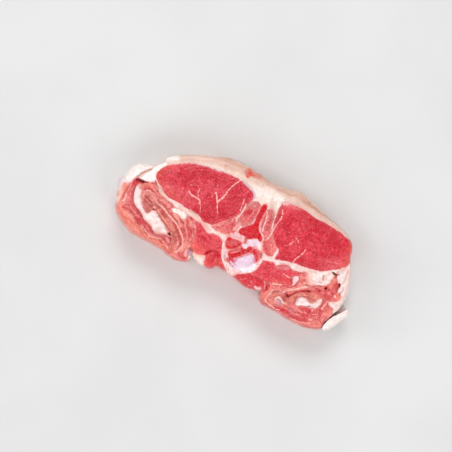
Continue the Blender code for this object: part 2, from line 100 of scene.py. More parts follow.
# Bone and cartilage
DISC = (
    (4.4, -8.4), (7.0, -9.0), (9.6, -11.9), (11.3, -12.8), (10.8, -16.6), (7.2, -19.9), (1.6, -21.3),
    (-3.6, -19.4), (-4.4, -16.8), (-0.6, -13.4), (1.8, -11.2),
)
VERTEBRA = (
    (-1.9, 20.5), (0.2, 23.0), (2.0, 20.5), (1.7, 14.0), (2.4, 9.6), (4.4, 6.2), (7.6, 4.1), (8.6, 0.4),
    (10.0, -3.2), (12.4, -6.8), (13.0, -10.6), (11.8, -16.7), (8.4, -20.1), (2.4, -23.8), (0.3, -27.2),
    (-3.5, -28.2), (-4.4, -24.2), (-8.2, -20.8), (-12.0, -14.8), (-13.4, -9.4), (-12.6, -5.0), (-9.6, -2.2),
    (-8.7, 1.8), (-6.4, 4.5), (-3.2, 7.0), (-1.9, 11.5),
)

# The loin eyes
EYE_LEFT = (
    (-67.9, 10.0), (-65.8, 15.4), (-59.0, 21.0), (-50.4, 25.4), (-40.0, 27.6), (-30.5, 28.7), (-22.0, 29.2),
    (-15.0, 27.1), (-9.4, 24.5), (-8.3, 21.2), (-10.4, 17.2), (-11.1, 13.0), (-12.8, 8.7), (-17.5, 3.1),
    (-21.6, -1.0), (-24.6, -3.4), (-30.0, -3.3), (-34.0, -1.5), (-46.1, -0.15), (-57.7, 1.1), (-62.3, 4.6),
    (-66.6, 7.2),
)
EYE_RIGHT = (
    (8.2, 24.0), (9.6, 28.2), (16.3, 29.5), (22.5, 29.6), (32.5, 28.2), (41.8, 27.8), (51.1, 26.2),
    (57.0, 23.8), (59.9, 17.8), (61.1, 11.3), (58.1, 7.4), (52.5, 3.2), (46.4, 0.05), (37.2, -1.4),
    (30.2, -2.5), (23.0, -4.2), (19.6, -4.6), (19.4, 0.2), (16.0, 3.0), (12.4, 7.2), (11.0, 11.0),
    (9.2, 15.8), (8.4, 20.4),
)

# The small muscles beside the spine
MULTIFIDUS_LEFT_INNER = (
    (-8.4, 20.2), (-5.4, 21.6), (-2.6, 20.9), (-1.5, 15.0), (-1.9, 10.0), (-4.6, 5.6), (-8.0, 3.9),
    (-10.8, 5.0), (-11.4, 9.0), (-10.8, 13.2), (-10.2, 17.8),
)
MULTIFIDUS_LEFT_OUTER = (
    (-11.4, 8.4), (-10.6, 4.6), (-8.6, 2.6), (-9.2, -2.0), (-12.4, -4.2), (-18.0, -5.2), (-24.0, -4.2),
    (-22.2, -1.2), (-18.6, 2.2), (-15.0, 5.9), (-12.8, 8.8),
)
MULTIFIDUS_RIGHT_INNER = (
    (3.0, 20.8), (5.2, 21.5), (7.4, 19.6), (9.2, 14.6), (10.9, 9.4), (10.7, 5.0), (9.4, 2.7), (7.4, 3.6),
    (4.2, 6.0), (2.2, 9.4), (1.4, 13.6), (1.7, 18.6),
)
MULTIFIDUS_RIGHT_OUTER = (
    (11.4, 8.0), (14.4, 5.4), (17.6, 2.2), (18.0, -1.4), (17.3, -4.6), (13.6, -5.2), (10.2, -3.2),
    (8.3, -0.2), (8.7, 2.4), (10.4, 5.4),
)

# The muscles under the backbone
PSOAS_LEFT = (
    (-19.5, -20.2), (-17.2, -17.8), (-12.0, -16.6), (-8.2, -19.8), (-4.8, -23.8), (-4.6, -27.5),
    (-9.0, -30.5), (-17.6, -31.5), (-18.0, -27.0), (-19.0, -23.0),
)
PSOAS_RIGHT = (
    (-0.6, -25.2), (4.0, -22.4), (8.7, -19.5), (15.0, -19.8), (19.6, -19.8), (21.8, -22.4), (21.4, -25.2),
    (20.0, -26.8), (20.0, -31.0), (10.0, -32.5), (0.0, -29.0),
)
TENDERLOIN_LEFT = (
    (-34.4, -5.0), (-28.6, -6.0), (-24.5, -8.6), (-20.6, -7.5), (-16.4, -7.7), (-13.4, -10.2),
    (-11.4, -15.2), (-11.2, -18.0), (-16.8, -18.8), (-19.4, -21.5), (-23.2, -22.7), (-26.6, -22.7),
    (-29.4, -19.6), (-30.5, -13.6), (-32.2, -9.0),
)
TENDERLOIN_RIGHT = (
    (12.0, -10.5), (14.2, -8.5), (19.0, -7.4), (22.0, -8.1), (25.2, -5.7), (29.0, -5.0), (32.0, -6.1),
    (36.8, -5.8), (37.2, -8.6), (36.2, -12.0), (35.4, -15.4), (30.0, -17.0), (25.0, -18.6), (21.4, -20.6),
    (14.0, -20.6), (9.8, -20.6), (11.4, -15.2),
)

# Fat: the lumps and wedges between the muscles
FAT_SLIVER_RIGHT = ((34.6, -9.6), (36.6, -8.0), (38.1, -9.4), (37.8, -12.6), (36.3, -15.2), (35.2, -12.8))
FAT_LUMP_LEFT = (
    (-28.4, -23.4), (-25.4, -22.0), (-19.8, -20.8), (-17.8, -24.6), (-17.2, -31.5), (-22.0, -32.0),
    (-28.0, -28.0),
)
FAT_CHUNK_RIGHT = (
    (42.5, -20.4), (44.4, -18.7), (46.8, -18.2), (50.2, -19.7), (52.6, -17.4), (56.0, -14.5), (56.8, -17.2),
    (55.0, -20.8), (51.6, -22.1), (47.0, -23.5), (43.6, -24.9), (42.4, -23.0),
)
FAT_NODULE_LEFT = (
    (-50.4, -5.2), (-48.4, -3.5), (-43.6, -3.2), (-40.4, -4.2), (-39.8, -6.8), (-41.2, -7.9), (-45.0, -6.8),
    (-49.2, -6.5),
)
FAT_NODULE_RIGHT = ((30.3, -26.8), (31.6, -24.5), (34.2, -25.2), (36.3, -26.8), (34.8, -28.5), (31.8, -28.9))
FAT_CORE_LEFT = (
    (-74.2, 0.6), (-75.7, -2.6), (-75.0, -6.6), (-73.2, -11.0), (-70.6, -13.2), (-66.8, -15.0),
    (-62.6, -18.3), (-57.6, -19.7), (-54.6, -21.8), (-51.8, -22.9), (-48.2, -21.5), (-45.5, -20.2),
    (-47.6, -17.5), (-53.0, -13.8), (-58.8, -10.5), (-60.8, -11.4), (-62.8, -13.9), (-65.4, -12.2),
    (-69.6, -7.6), (-71.6, -3.2), (-72.8, 0.1),
)
FAT_SEAM_LEFT = (
    (-66.4, 7.4), (-64.6, 3.9), (-61.4, 0.4), (-56.6, -1.3), (-50.2, -2.6), (-47.6, -4.3), (-42.0, -4.4),
    (-37.6, -4.3), (-31.6, -5.6), (-27.0, -7.5), (-24.5, -9.2), (-20.2, -8.2), (-15.8, -8.7), (-13.4, -8.8),
    (-11.9, -6.4), (-12.4, -3.0), (-18.0, -1.8), (-24.0, 0.0), (-34.0, 1.0), (-46.0, 3.0), (-56.0, 4.0),
    (-62.0, 7.0),
)
FAT_SEAM_RIGHT = (
    (11.4, -5.0), (12.6, -10.6), (16.0, -8.7), (20.0, -8.2), (22.6, -8.7), (27.0, -5.9), (33.0, -6.2),
    (37.4, -5.0), (40.2, -3.7), (41.9, -5.4), (44.0, -8.4), (46.2, -9.1), (51.0, -7.6), (55.0, -5.8),
    (56.0, -1.8), (57.0, 3.4), (59.6, 8.0), (58.4, 10.0), (50.0, 5.0), (36.0, 1.2), (25.0, -1.0),
    (20.0, 2.2), (17.4, 1.0), (16.6, -3.6), (13.5, -3.8),
)
FAT_EDGE_LEFT = (
    (-70.8, 19.0), (-71.4, 12.0), (-74.6, 8.4), (-76.6, 4.2), (-78.7, 2.0), (-79.5, -1.6), (-81.6, -2.8),
    (-83.5, -4.2), (-82.9, -8.6), (-81.1, -15.4), (-80.0, -22.6), (-86.0, -26.0), (-95.0, -6.0),
    (-90.0, 12.0), (-80.0, 19.0),
)
FAT_EDGE_RIGHT = (
    (61.5, 13.8), (60.8, 9.4), (57.5, 5.0), (58.4, 1.0), (60.2, -1.2), (61.9, -1.5), (62.3, -4.4),
    (62.3, -6.2), (64.6, -6.6), (66.0, -9.0), (63.8, -12.3), (60.2, -14.5), (61.6, -16.0), (64.4, -16.8),
    (66.4, -20.6), (74.0, -22.0), (76.0, -6.0), (72.0, 8.0), (67.0, 16.0),
)
FAT_COVER = (
    (-70.9, 22.0), (-71.6, 12.0), (-74.8, 8.4), (-77.0, 4.4), (-76.0, 3.2), (-70.6, 3.4), (-67.4, 4.6),
    (-65.6, 7.2), (-60.0, 12.0), (-50.0, 19.0), (-20.0, 21.0), (-7.0, 17.5), (7.0, 17.5), (20.0, 22.0),
    (45.0, 22.0), (56.0, 18.0), (60.0, 12.6), (63.0, 13.4), (68.0, 18.0), (62.0, 32.0), (18.0, 48.0),
    (-20.0, 48.0), (-50.0, 42.0), (-68.0, 30.0),
)

# The flanks, a few thin sheets of lean each, rolled in under the loins
FLAP_LEFT_OUTER = (
    (-80.0, -2.2), (-79.1, -7.0), (-78.4, -12.8), (-77.2, -16.2), (-72.6, -17.3), (-67.2, -20.7),
    (-61.2, -23.1), (-55.6, -25.5), (-48.4, -24.6), (-43.6, -26.6), (-38.8, -29.8), (-37.0, -37.0),
    (-60.0, -35.0), (-76.0, -33.0), (-86.0, -22.0), (-88.0, -8.0), (-84.0, -1.8),
)
FLAP_LEFT_MIDDLE = (
    (-79.8, 3.0), (-75.8, 3.6), (-74.2, 0.6), (-72.0, -8.0), (-64.0, -14.8), (-54.0, -18.6), (-46.6, -19.4),
    (-42.8, -20.8), (-40.9, -23.4), (-42.0, -27.4), (-50.0, -27.0), (-58.0, -27.0), (-66.0, -24.0),
    (-72.0, -20.0), (-79.0, -18.0), (-80.5, -10.0), (-80.6, -3.0),
)
FLAP_LEFT_INNER = (
    (-72.0, -3.0), (-65.8, -1.0), (-60.0, -4.2), (-52.0, -8.4), (-43.2, -13.1), (-37.8, -16.9),
    (-35.2, -21.2), (-35.4, -25.6), (-38.4, -28.4), (-42.0, -28.2), (-41.7, -24.0), (-43.0, -20.8),
    (-46.0, -19.4), (-48.0, -19.2), (-55.0, -14.6), (-60.0, -12.8), (-62.4, -16.0), (-66.0, -14.0),
    (-70.2, -9.0), (-72.4, -5.5),
)
FLAP_LEFT_UPPER = (
    (-75.6, 2.4), (-69.6, 3.3), (-65.8, 5.6), (-61.2, 1.8), (-50.0, -1.8), (-40.0, -3.0), (-33.5, -4.0),
    (-29.5, -9.5), (-27.0, -20.0), (-26.6, -24.6), (-25.4, -27.5), (-25.6, -34.0), (-36.8, -37.0),
    (-39.0, -30.5), (-44.0, -24.0), (-48.0, -14.0), (-60.0, -6.0), (-68.0, -4.5), (-73.0, -3.0),
    (-75.4, 0.0),
)
FLAP_RIGHT_UPPER = (
    (36.4, -5.2), (39.6, -2.8), (46.0, -6.5), (52.0, -5.0), (55.4, -1.0), (57.4, 5.6), (60.6, 1.0),
    (67.0, -9.0), (64.4, -12.8), (60.4, -14.8), (57.0, -13.9), (51.8, -15.2), (47.8, -13.5), (43.9, -15.0),
    (39.6, -19.2), (36.0, -21.6), (32.4, -20.5), (25.4, -17.6), (28.0, -15.6), (34.0, -14.5),
    (36.8, -11.0), (36.6, -8.0),
)
FLAP_RIGHT_INNER = (
    (34.0, -20.6), (37.4, -20.6), (43.2, -14.6), (48.0, -12.7), (52.0, -14.3), (56.8, -13.4), (56.8, -16.0),
    (53.0, -20.2), (46.0, -22.2), (42.6, -24.8), (37.4, -25.9), (35.4, -29.0), (31.4, -30.7),
    (27.4, -29.6), (25.6, -26.0), (27.0, -22.2), (30.2, -20.7),
)
FLAP_RIGHT_OUTER = (
    (21.6, -19.9), (25.0, -18.0), (30.0, -18.4), (36.4, -20.6), (44.0, -13.6), (51.0, -13.6), (58.0, -12.8),
    (62.6, -15.4), (67.0, -17.6), (66.6, -24.0), (65.4, -34.0), (58.0, -39.0), (40.0, -41.0),
    (22.0, -38.0), (15.5, -32.0), (18.4, -27.6), (20.8, -26.0), (21.2, -23.4),
)


# What each piece looks like: tissue slot, and then height of its middle over the plane of the cut, the
# distance over which it rises to that height, and how rough its surface is, all in mm
PIECES = (
    ("cartilage_disc", DISC, "cartilage", -0.25, 2.5, 0.10),
    ("vertebra", VERTEBRA, "bone", -0.10, 1.2, 0.16),
    ("loin_eye_left", EYE_LEFT, "lean_eye", 0.75, 5.0, 0.10),
    ("loin_eye_right", EYE_RIGHT, "lean_eye", 0.75, 5.0, 0.10),
    ("multifidus_left_inner", MULTIFIDUS_LEFT_INNER, "lean_beside_spine", 0.35, 2.0, 0.16),
    ("multifidus_right_inner", MULTIFIDUS_RIGHT_INNER, "lean_beside_spine", 0.35, 2.0, 0.16),
    ("multifidus_left_outer", MULTIFIDUS_LEFT_OUTER, "lean_beside_spine", 0.30, 2.0, 0.14),
    ("multifidus_right_outer", MULTIFIDUS_RIGHT_OUTER, "lean_beside_spine", 0.30, 2.0, 0.14),
    ("psoas_minor_left", PSOAS_LEFT, "lean_tenderloin", -0.55, 2.2, 0.18),
    ("psoas_minor_right", PSOAS_RIGHT, "lean_tenderloin", -0.60, 2.2, 0.18),
    ("fat_sliver_right", FAT_SLIVER_RIGHT, "fat", 0.35, 0.9, 0.06),
    ("tenderloin_left", TENDERLOIN_LEFT, "lean_tenderloin", 0.45, 3.2, 0.14),
    ("tenderloin_right", TENDERLOIN_RIGHT, "lean_tenderloin", 0.45, 3.2, 0.14),
    ("fat_lump_left", FAT_LUMP_LEFT, "fat", -0.25, 1.8, 0.14),
    ("fat_edge_left", FAT_EDGE_LEFT, "fat", 0.20, 1.8, 0.12),
    ("fat_edge_right", FAT_EDGE_RIGHT, "fat", 0.25, 1.8, 0.12),
    ("fat_chunk_right", FAT_CHUNK_RIGHT, "fat", 0.45, 1.3, 0.12),
    ("fat_nodule_left", FAT_NODULE_LEFT, "fat", 0.35, 1.3, 0.08),
    ("fat_nodule_right", FAT_NODULE_RIGHT, "fat", 0.10, 1.0, 0.08),
    ("fat_core_left", FAT_CORE_LEFT, "fat", 0.55, 1.5, 0.12),
    ("fat_seam_left", FAT_SEAM_LEFT, "fat", 0.05, 1.4, 0.10),
    ("fat_seam_right", FAT_SEAM_RIGHT, "fat", 0.05, 1.4, 0.10),
    ("fat_cover", FAT_COVER, "fat", 0.15, 2.6, 0.10),
    ("flap_left_outer", FLAP_LEFT_OUTER, "lean_flank", -0.15, 1.7, 0.20),
    ("flap_left_inner", FLAP_LEFT_INNER, "lean_flank", 0.20, 1.7, 0.22),
    ("flap_left_middle", FLAP_LEFT_MIDDLE, "lean_flank", 0.00, 1.4, 0.20),
    ("flap_left_upper", FLAP_LEFT_UPPER, "lean_flank", 0.15, 1.7, 0.20),
    ("flap_right_upper", FLAP_RIGHT_UPPER, "lean_flank", 0.10, 1.7, 0.22),
    ("flap_right_inner", FLAP_RIGHT_INNER, "lean_flank", -0.20, 1.5, 0.22),
    ("flap_right_outer", FLAP_RIGHT_OUTER, "lean_flank", 0.00, 1.8, 0.20),
)
NAMES = [row[0] for row in PIECES]

# Where the creases between neighbours are deep: centre, radius, depth
CREASES = (
    (-62.0, -12.0, 26.0, 0.55), (-40.0, -22.0, 14.0, 0.50), (46.0, -16.0, 24.0, 0.55), (-15.0, -22.0, 9.0, 0.55),
    (10.0, -22.0, 10.0, 0.45), (0.0, 6.0, 10.0, 0.15),
)

# Lines that the strands of the flanks, the seams and the fat cover run along
STRANDS = (
    ((-79.0, 1.0), (-79.5, -6.0), (-79.0, -12.0), (-76.5, -17.5), (-70.0, -20.0), (-63.0, -22.8), (-56.0, -25.3),
     (-48.0, -25.5), (-42.0, -28.0), (-36.0, -30.5), (-28.0, -29.5)),
    ((-83.0, -8.0), (-81.0, -16.0), (-76.0, -22.0), (-68.0, -26.5), (-58.0, -28.0), (-46.0, -28.8)),
    ((-74.0, 1.0), (-74.5, -5.0), (-72.0, -11.0), (-66.0, -15.5), (-60.0, -19.0), (-54.0, -21.0), (-47.0, -20.0)),
    ((-70.0, 3.5), (-64.0, 0.0), (-55.0, -3.5), (-48.0, -8.0), (-41.0, -12.5), (-36.5, -17.0), (-34.5, -22.0),
     (-35.0, -27.0)),
    ((-68.0, -4.0), (-60.0, -6.5), (-52.0, -10.5), (-45.0, -14.0), (-40.0, -18.0), (-38.5, -22.0), (-39.0, -26.0)),
    ((-45.0, -4.5), (-38.0, -8.0), (-33.0, -13.0), (-30.5, -19.0), (-29.5, -25.0)),
    ((-33.0, -7.0), (-27.0, -9.5), (-20.0, -11.0), (-14.0, -12.0)),
    ((-28.0, -16.0), (-20.0, -16.5), (-13.0, -17.0)),
    ((22.0, -20.0), (23.0, -25.0), (25.0, -30.0), (32.0, -32.5), (42.0, -33.5), (52.0, -33.0), (60.0, -31.0),
     (64.0, -26.0)),
    ((30.0, -19.5), (36.0, -17.0), (40.0, -13.0), (45.0, -9.5), (51.0, -8.0), (57.0, -5.0), (60.0, -1.0)),
    ((27.0, -24.0), (31.0, -22.0), (36.0, -20.0), (41.0, -17.0), (46.0, -13.5), (52.0, -13.5), (58.0, -13.5),
     (64.0, -15.0)),
    ((38.0, -27.0), (44.0, -26.0), (50.0, -24.0), (56.0, -22.0), (60.0, -20.0), (64.0, -19.0)),
    ((30.0, -30.0), (38.0, -30.0), (48.0, -29.5), (58.0, -28.0)),
    ((13.0, -13.0), (20.0, -11.0), (28.0, -9.0), (35.0, -8.0)),
    ((14.0, -18.0), (22.0, -17.0), (30.0, -15.5), (36.0, -13.5)),
    ((-66.0, 20.0), (-55.0, 27.0), (-42.0, 33.0), (-28.0, 37.0), (-12.0, 36.5), (0.0, 35.0), (12.0, 36.5),
     (24.0, 35.0), (40.0, 30.5), (54.0, 26.0), (62.0, 14.0), (67.0, 2.0), (68.0, -9.0)),
    ((-86.0, -8.0), (-84.0, 3.0), (-79.0, 9.0), (-70.0, 14.0)),
    ((-60.0, 1.0), (-46.0, -1.0), (-34.0, -3.0), (-24.0, -5.5), (-14.0, -6.0)),
    ((14.0, -5.0), (24.0, -5.5), (34.0, -3.5), (44.0, -2.0), (54.0, 3.0), (60.0, 9.0)),
    ((-7.0, 5.0), (-6.5, 12.0), (-5.5, 20.0)),
    ((6.5, 5.0), (5.8, 12.0), (5.0, 20.0)),
    ((-22.0, -2.0), (-16.0, 1.0), (-11.0, 6.0)),
    ((17.0, -2.0), (14.0, 2.0), (10.5, 6.0)),
    ((0.0, 22.0), (0.0, 12.0), (0.0, 3.0)),
)

# Marks on the cut face: mask, half-width, strength, change of height in mm, pieces it is kept to ("" is all), and
# the points of its line. A mark of one point is a spot. Where the half-width is negative the points go round a
# zone instead, and the number says how soft its border is.
# A dark mark, or a deep line, that follows a slit, a hole or a crease and drops the height there is painted shade in
# that hollow.
MARKS = (
    # Seams of fat and connective tissue in the left loin eye
    ("vein", 0.42, 0.85, 0.05, "loin_eye", ((-20.5, 28.5), (-22.2, 25.0), (-23.6, 22.0), (-24.3, 19.0), (-24.8, 16.0), (-25.8, 13.5), (-27.0, 11.0))),
    ("vein", 0.60, 1.00, 0.06, "loin_eye", ((-25.2, 14.9), (-26.2, 12.4), (-27.2, 10.9))),
    ("vein", 0.45, 1.00, 0.06, "loin_eye", ((-27.0, 10.8), (-28.2, 12.3), (-29.5, 14.4), (-30.4, 15.6))),
    ("vein", 0.30, 0.42, 0.04, "loin_eye", ((-24.4, 18.2), (-22.8, 16.8), (-21.8, 15.0))),
    ("vein", 0.34, 0.70, 0.04, "loin_eye", ((-27.0, 10.6), (-26.2, 8.6), (-25.0, 6.2), (-23.8, 4.6))),
    ("vein", 0.36, 0.85, 0.04, "loin_eye", ((-40.4, 12.7), (-39.8, 10.0), (-38.8, 7.8))),
    ("vein", 0.45, 0.95, 0.05, "loin_eye", ((-45.2, 8.8), (-43.0, 7.8), (-40.5, 7.6), (-38.8, 7.6), (-37.2, 6.8), (-36.2, 5.2))),
    ("vein", 0.34, 0.80, 0.04, "loin_eye", ((-36.4, 5.6), (-35.2, 3.8), (-34.5, 2.0), (-33.9, 0.8))),
    ("vein", 0.34, 0.70, 0.03, "loin_eye", ((-13.2, 19.5), (-12.8, 17.0), (-12.5, 14.0), (-12.3, 12.0))),
    ("vein", 0.55, 0.45, 0.03, "loin_eye", ((-46.5, 13.3), (-44.5, 14.0))),
    ("vein", 0.60, 0.50, 0.03, "loin_eye", ((-58.7, 6.2), (-58.0, 5.9))),
    ("vein", 0.50, 0.40, 0.03, "loin_eye", ((-58.2, 18.4), (-57.8, 17.8))),
    ("vein", 0.45, 0.45, 0.03, "loin_eye", ((-38.2, 20.2), (-36.6, 19.4))),
    ("vein", 0.45, 0.50, 0.03, "loin_eye", ((-31.9, 21.2), (-31.0, 19.4))),
    ("vein", 0.35, 0.35, 0.03, "loin_eye", ((-40.5, 13.4), (-39.2, 12.6), (-37.8, 12.0))),
    ("vein", 0.50, 0.45, 0.03, "loin_eye", ((-31.6, 13.2), (-31.2, 12.0))),
    ("vein", 0.28, 0.40, 0.03, "loin_eye", ((-27.0, 4.2), (-27.1, 1.4))),
    ("vein", 0.30, 0.35, 0.03, "loin_eye", ((-25.2, -0.4), (-24.2, -1.6))),
    ("vein", 0.28, 0.35, 0.02, "loin_eye", ((-53.0, 22.4), (-50.6, 20.2), (-49.6, 18.2))),
    ("vein", 0.26, 0.30, 0.02, "loin_eye", ((-62.0, 14.8), (-60.4, 13.0), (-60.0, 11.2))),
    ("vein", 0.26, 0.30, 0.02, "loin_eye", ((-50.6, 4.2), (-49.2, 6.0), (-48.8, 7.4))),
    ("vein", 0.26, 0.30, 0.02, "loin_eye", ((-17.4, 23.4), (-16.8, 21.2), (-17.4, 19.0))),
    ("vein", 0.26, 0.28, 0.02, "loin_eye", ((-19.6, 10.4), (-18.2, 8.6), (-18.0, 6.8))),
    # And in the right one
    ("vein", 0.40, 0.75, 0.04, "loin_eye", ((10.5, 24.0), (12.0, 20.5), (11.9, 17.0), (11.1, 13.5), (11.0, 10.5))),
    ("vein", 0.32, 0.60, 0.04, "loin_eye", ((25.5, 12.2), (27.5, 11.0), (28.2, 9.5))),
    ("vein", 0.32, 0.65, 0.04, "loin_eye", ((24.8, 9.5), (24.0, 7.5), (22.8, 6.0), (21.3, 4.8))),
    ("vein", 0.26, 0.45, 0.03, "loin_eye", ((27.8, 5.5), (27.2, 2.5))),
    ("vein", 0.42, 0.85, 0.05, "loin_eye", ((33.5, 8.0), (33.4, 6.2), (32.6, 4.0), (31.5, 1.8), (30.7, 0.0), (30.2, -1.8))),
    ("vein", 0.26, 0.40, 0.03, "loin_eye", ((17.2, 7.5), (17.8, 5.0))),
    ("vein", 0.45, 0.40, 0.03, "loin_eye", ((21.0, 13.5), (18.5, 13.0))),
    ("vein", 0.50, 0.40, 0.03, "loin_eye", ((47.0, 17.0), (48.5, 15.3))),
    ("vein", 0.45, 0.35, 0.03, "loin_eye", ((33.5, 19.5), (33.0, 18.6))),
    ("vein", 0.45, 0.35, 0.03, "loin_eye", ((24.5, 24.2), (24.6, 23.2))),
    ("vein", 0.35, 0.40, 0.03, "loin_eye", ((48.0, 7.0), (51.0, 8.2), (54.0, 9.0), (58.0, 9.4))),
    ("vein", 0.30, 0.35, 0.03, "loin_eye", ((44.5, 2.0), (46.8, 3.4), (49.4, 4.2))),
    ("vein", 0.28, 0.30, 0.02, "loin_eye", ((40.0, 24.8), (41.0, 22.4), (40.6, 20.4))),
    ("vein", 0.28, 0.30, 0.02, "loin_eye", ((37.6, 13.2), (39.0, 11.4), (39.2, 9.6))),
    ("vein", 0.28, 0.28, 0.02, "loin_eye", ((52.6, 20.6), (54.2, 18.8), (54.4, 17.0))),
    # Darker and redder zones of the loin eyes, and their warm ends
    ("blood", 2.6, 0.42, 0.0, "loin_eye", ((44.6, 25.0), (46.4, 22.4), (47.4, 20.0))),
    ("blood", 3.5, 0.16, 0.0, "loin_eye", ((20.0, 26.0), (30.0, 26.5), (38.0, 25.0))),
    ("blood", 3.0, 0.15, 0.0, "loin_eye", ((-50.0, 20.0), (-38.0, 24.0), (-28.0, 25.0))),
    ("blood", 2.4, 0.36, 0.0, "loin_eye", ((-36.0, 1.0), (-30.0, 0.4), (-24.0, -1.0))),
    ("blood", 2.2, 0.28, 0.0, "loin_eye", ((25.0, -2.2), (31.0, -1.4), (38.0, 0.6), (44.0, 2.2))),
    ("warm", 2.0, 0.45, 0.0, "loin_eye", ((-67.0, 10.0), (-66.2, 13.0), (-62.8, 18.0))),
    ("warm", 1.6, 0.30, 0.0, "loin_eye", ((-66.0, 7.4), (-62.0, 5.0), (-57.0, 2.6), (-50.0, 1.6))),
    ("warm", 1.6, 0.40, 0.0, "loin_eye", ((58.4, 8.0), (60.2, 12.0), (59.2, 17.5), (57.0, 22.5))),
    ("pale", 3.0, 0.22, 0.0, "loin_eye", ((-60.0, 5.0), (-52.0, 4.5), (-46.0, 3.0))),
    ("pale", 2.5, 0.20, 0.0, "loin_eye", ((46.0, 5.0), (53.0, 8.0), (57.0, 12.0))),
    ("deep", 1.5, 0.35, 0.0, "loin_eye_right", ((9.4, 26.0), (9.8, 20.0), (9.9, 14.0))),
    ("warm", 0.9, 0.45, 0.0, "loin_eye_right", ((9.2, 25.0), (9.2, 19.0))),
    # Fat cover: the blood spot, the thin stripes of its outer side and the grey ends of its wedge
    ("blood", 1.25, 1.00, -0.10, "fat_cover", ((-17.4, 33.6), (-16.8, 35.4), (-17.6, 37.2))),
    ("blood", 0.70, 0.85, -0.05, "fat_cover", ((-19.4, 35.4), (-16.2, 34.6), (-13.6, 35.2))),
    ("blood", 1.30, 0.55, 0.0, "fat_cover", ((-18.8, 35.0), (-15.5, 35.4), (-13.0, 35.9), (-10.5, 36.2))),
    ("blood", 0.60, 0.75, 0.0, "fat_cover", ((-15.2, 37.2), (-14.6, 36.0))),
    ("blood", 0.45, 0.65, -0.05, "fat_cover", ((-32.3, 33.0),)),
    ("blood", 0.8, 0.20, 0.0, "fat_cover", ((32.0, 32.2), (33.4, 31.8))),
    ("dark", 0.9, 0.16, -0.05, "fat_cover", ((-5.0, 24.6), (-2.2, 24.8))),
    ("deep", 1.0, 0.35, -0.05, "fat_cover", ((2.6, 24.6), (4.8, 25.2))),
    ("deep", 0.8, 0.30, -0.05, "fat_cover", ((2.2, 27.2), (3.0, 23.4))),
    ("deep", 0.7, 0.25, -0.05, "fat_cover", ((6.2, 23.4), (7.4, 21.0))),
    ("vein", -0.50, 0.80, 0.08, "loin_eye_right", ((8.8, 28.6), (10.0, 26.6), (11.6, 27.2), (13.2, 28.6), (14.4, 29.8), (10.5, 29.8))),
    ("blood", 3.0, 0.45, 0.0, "loin_eye_right", ((24.0, 26.4), (32.0, 25.4), (40.0, 25.0))),
    ("blood", 1.5, 0.60, 0.0, "loin_eye_right", ((44.8, 24.4), (45.2, 21.6), (44.4, 18.6))),
    ("blood", 2.4, 0.32, 0.0, "loin_eye_left", ((-21.0, 19.0), (-19.6, 12.0), (-22.0, 6.0))),
    ("deep", 1.1, 0.50, -0.05, "fat_cover", ((3.6, 22.8), (5.2, 21.8))),
    ("deep", 0.8, 0.40, -0.05, "fat_cover", ((6.8, 21.2), (8.2, 19.0))),
    ("pale", 1.1, 0.55, 0.0, "loin_eye_right", ((10.0, 26.6), (12.4, 27.8), (15.0, 28.4), (18.6, 28.6))),
    ("deep", 0.8, 0.50, 0.0, "fat_seam_left", ((-40.2, -1.2), (-37.9, -1.6), (-34.4, -1.9))),
    ("deep", 0.7, 0.50, 0.0, "fat_seam_left", ((-62.4, 3.4), (-61.0, 2.8), (-59.4, 2.2))),
    ("deep", 0.7, 0.50, 0.0, "vertebra", ((-7.4, -20.6), (-4.7, -22.6), (-3.6, -24.6))),
    ("blood", 0.7, 0.55, 0.0, "vertebra", ((-2.8, -6.6), (-1.8, -7.8), (-1.4, -9.2))),
    ("blood", 0.8, 0.85, 0.0, "", ((1.4, -9.4), (-0.2, -10.9), (-1.8, -12.2))),
    ("vein", 0.40, 0.40, 0.0, "vertebra", ((-4.4, 5.1), (-6.2, 3.7), (-7.6, 2.2))),
    # Where the left flank meets the fat lump: a crease, painted dark as its shade, with a drop of height.
    ("dark", 0.90, 0.46, -0.15, "", ((-28.9, -23.8), (-27.9, -24.6), (-27.7, -25.8))),
    ("grey", 0.9, 0.85, -0.08, "fat_cover", ((-19.0, 28.9), (-15.0, 27.8), (-10.2, 25.8), (-8.0, 23.0))),
    ("grey", 0.8, 0.50, -0.08, "fat_cover", ((8.6, 27.8), (12.0, 29.4), (18.0, 30.2))),
    ("grey", 0.6, 0.30, -0.04, "fat_cover", ((22.0, 30.2), (34.0, 28.8), (46.0, 28.0))),
    ("grey", 0.6, 0.30, -0.04, "fat_cover", ((-52.0, 25.8), (-40.0, 28.3), (-28.0, 29.4))),
    ("deep", 0.52, 0.90, -0.12, "fat", ((-71.8, 11.4), (-73.5, 9.5), (-75.0, 8.0), (-76.2, 6.3), (-77.0, 4.5), (-77.8, 3.2))),
    ("pale", -1.30, 0.95, 0.0, "fat_cover", ((-76.0, 3.4), (-74.2, 8.0), (-70.6, 13.4), (-66.6, 19.0), (-64.8, 17.4), (-68.4, 10.8), (-67.0, 6.8), (-71.0, 3.8))),
    ("deep", 0.45, 0.45, -0.05, "fat_cover", ((-70.6, 14.8), (-71.6, 12.6))),
    ("warm", 1.2, 0.15, 0.0, "fat_cover", ((-72.5, 13.5), (-70.2, 16.4))),
    ("pale", 1.8, 0.80, 0.0, "fat_cover", ((-66.0, 22.0), (-62.0, 24.4))),
    ("pale", 2.2, 0.55, 0.0, "fat_cover", ((-6.0, 28.0), (0.0, 29.5), (6.0, 29.0))),
    # The edge fat of the two ends
    ("grey", 1.8, 0.60, 0.0, "fat_edge_left", ((-86.6, -2.0), (-86.8, -6.0))),
    ("pale", 0.6, 0.60, 0.08, "fat_edge_left", ((-82.4, 8.6), (-84.2, 4.0), (-85.0, 1.4))),
    ("deep", 0.5, 0.35, -0.10, "fat_edge_left", ((-84.6, 0.8), (-83.4, -1.2))),
    ("warm", 1.4, 0.45, 0.0, "fat_edge_left", ((-83.0, -9.0), (-82.0, -14.0), (-80.8, -19.0))),
    ("deep", 0.5, 0.45, -0.08, "fat_edge_right", ((62.6, 8.0), (63.4, 3.0), (63.0, -1.0))),
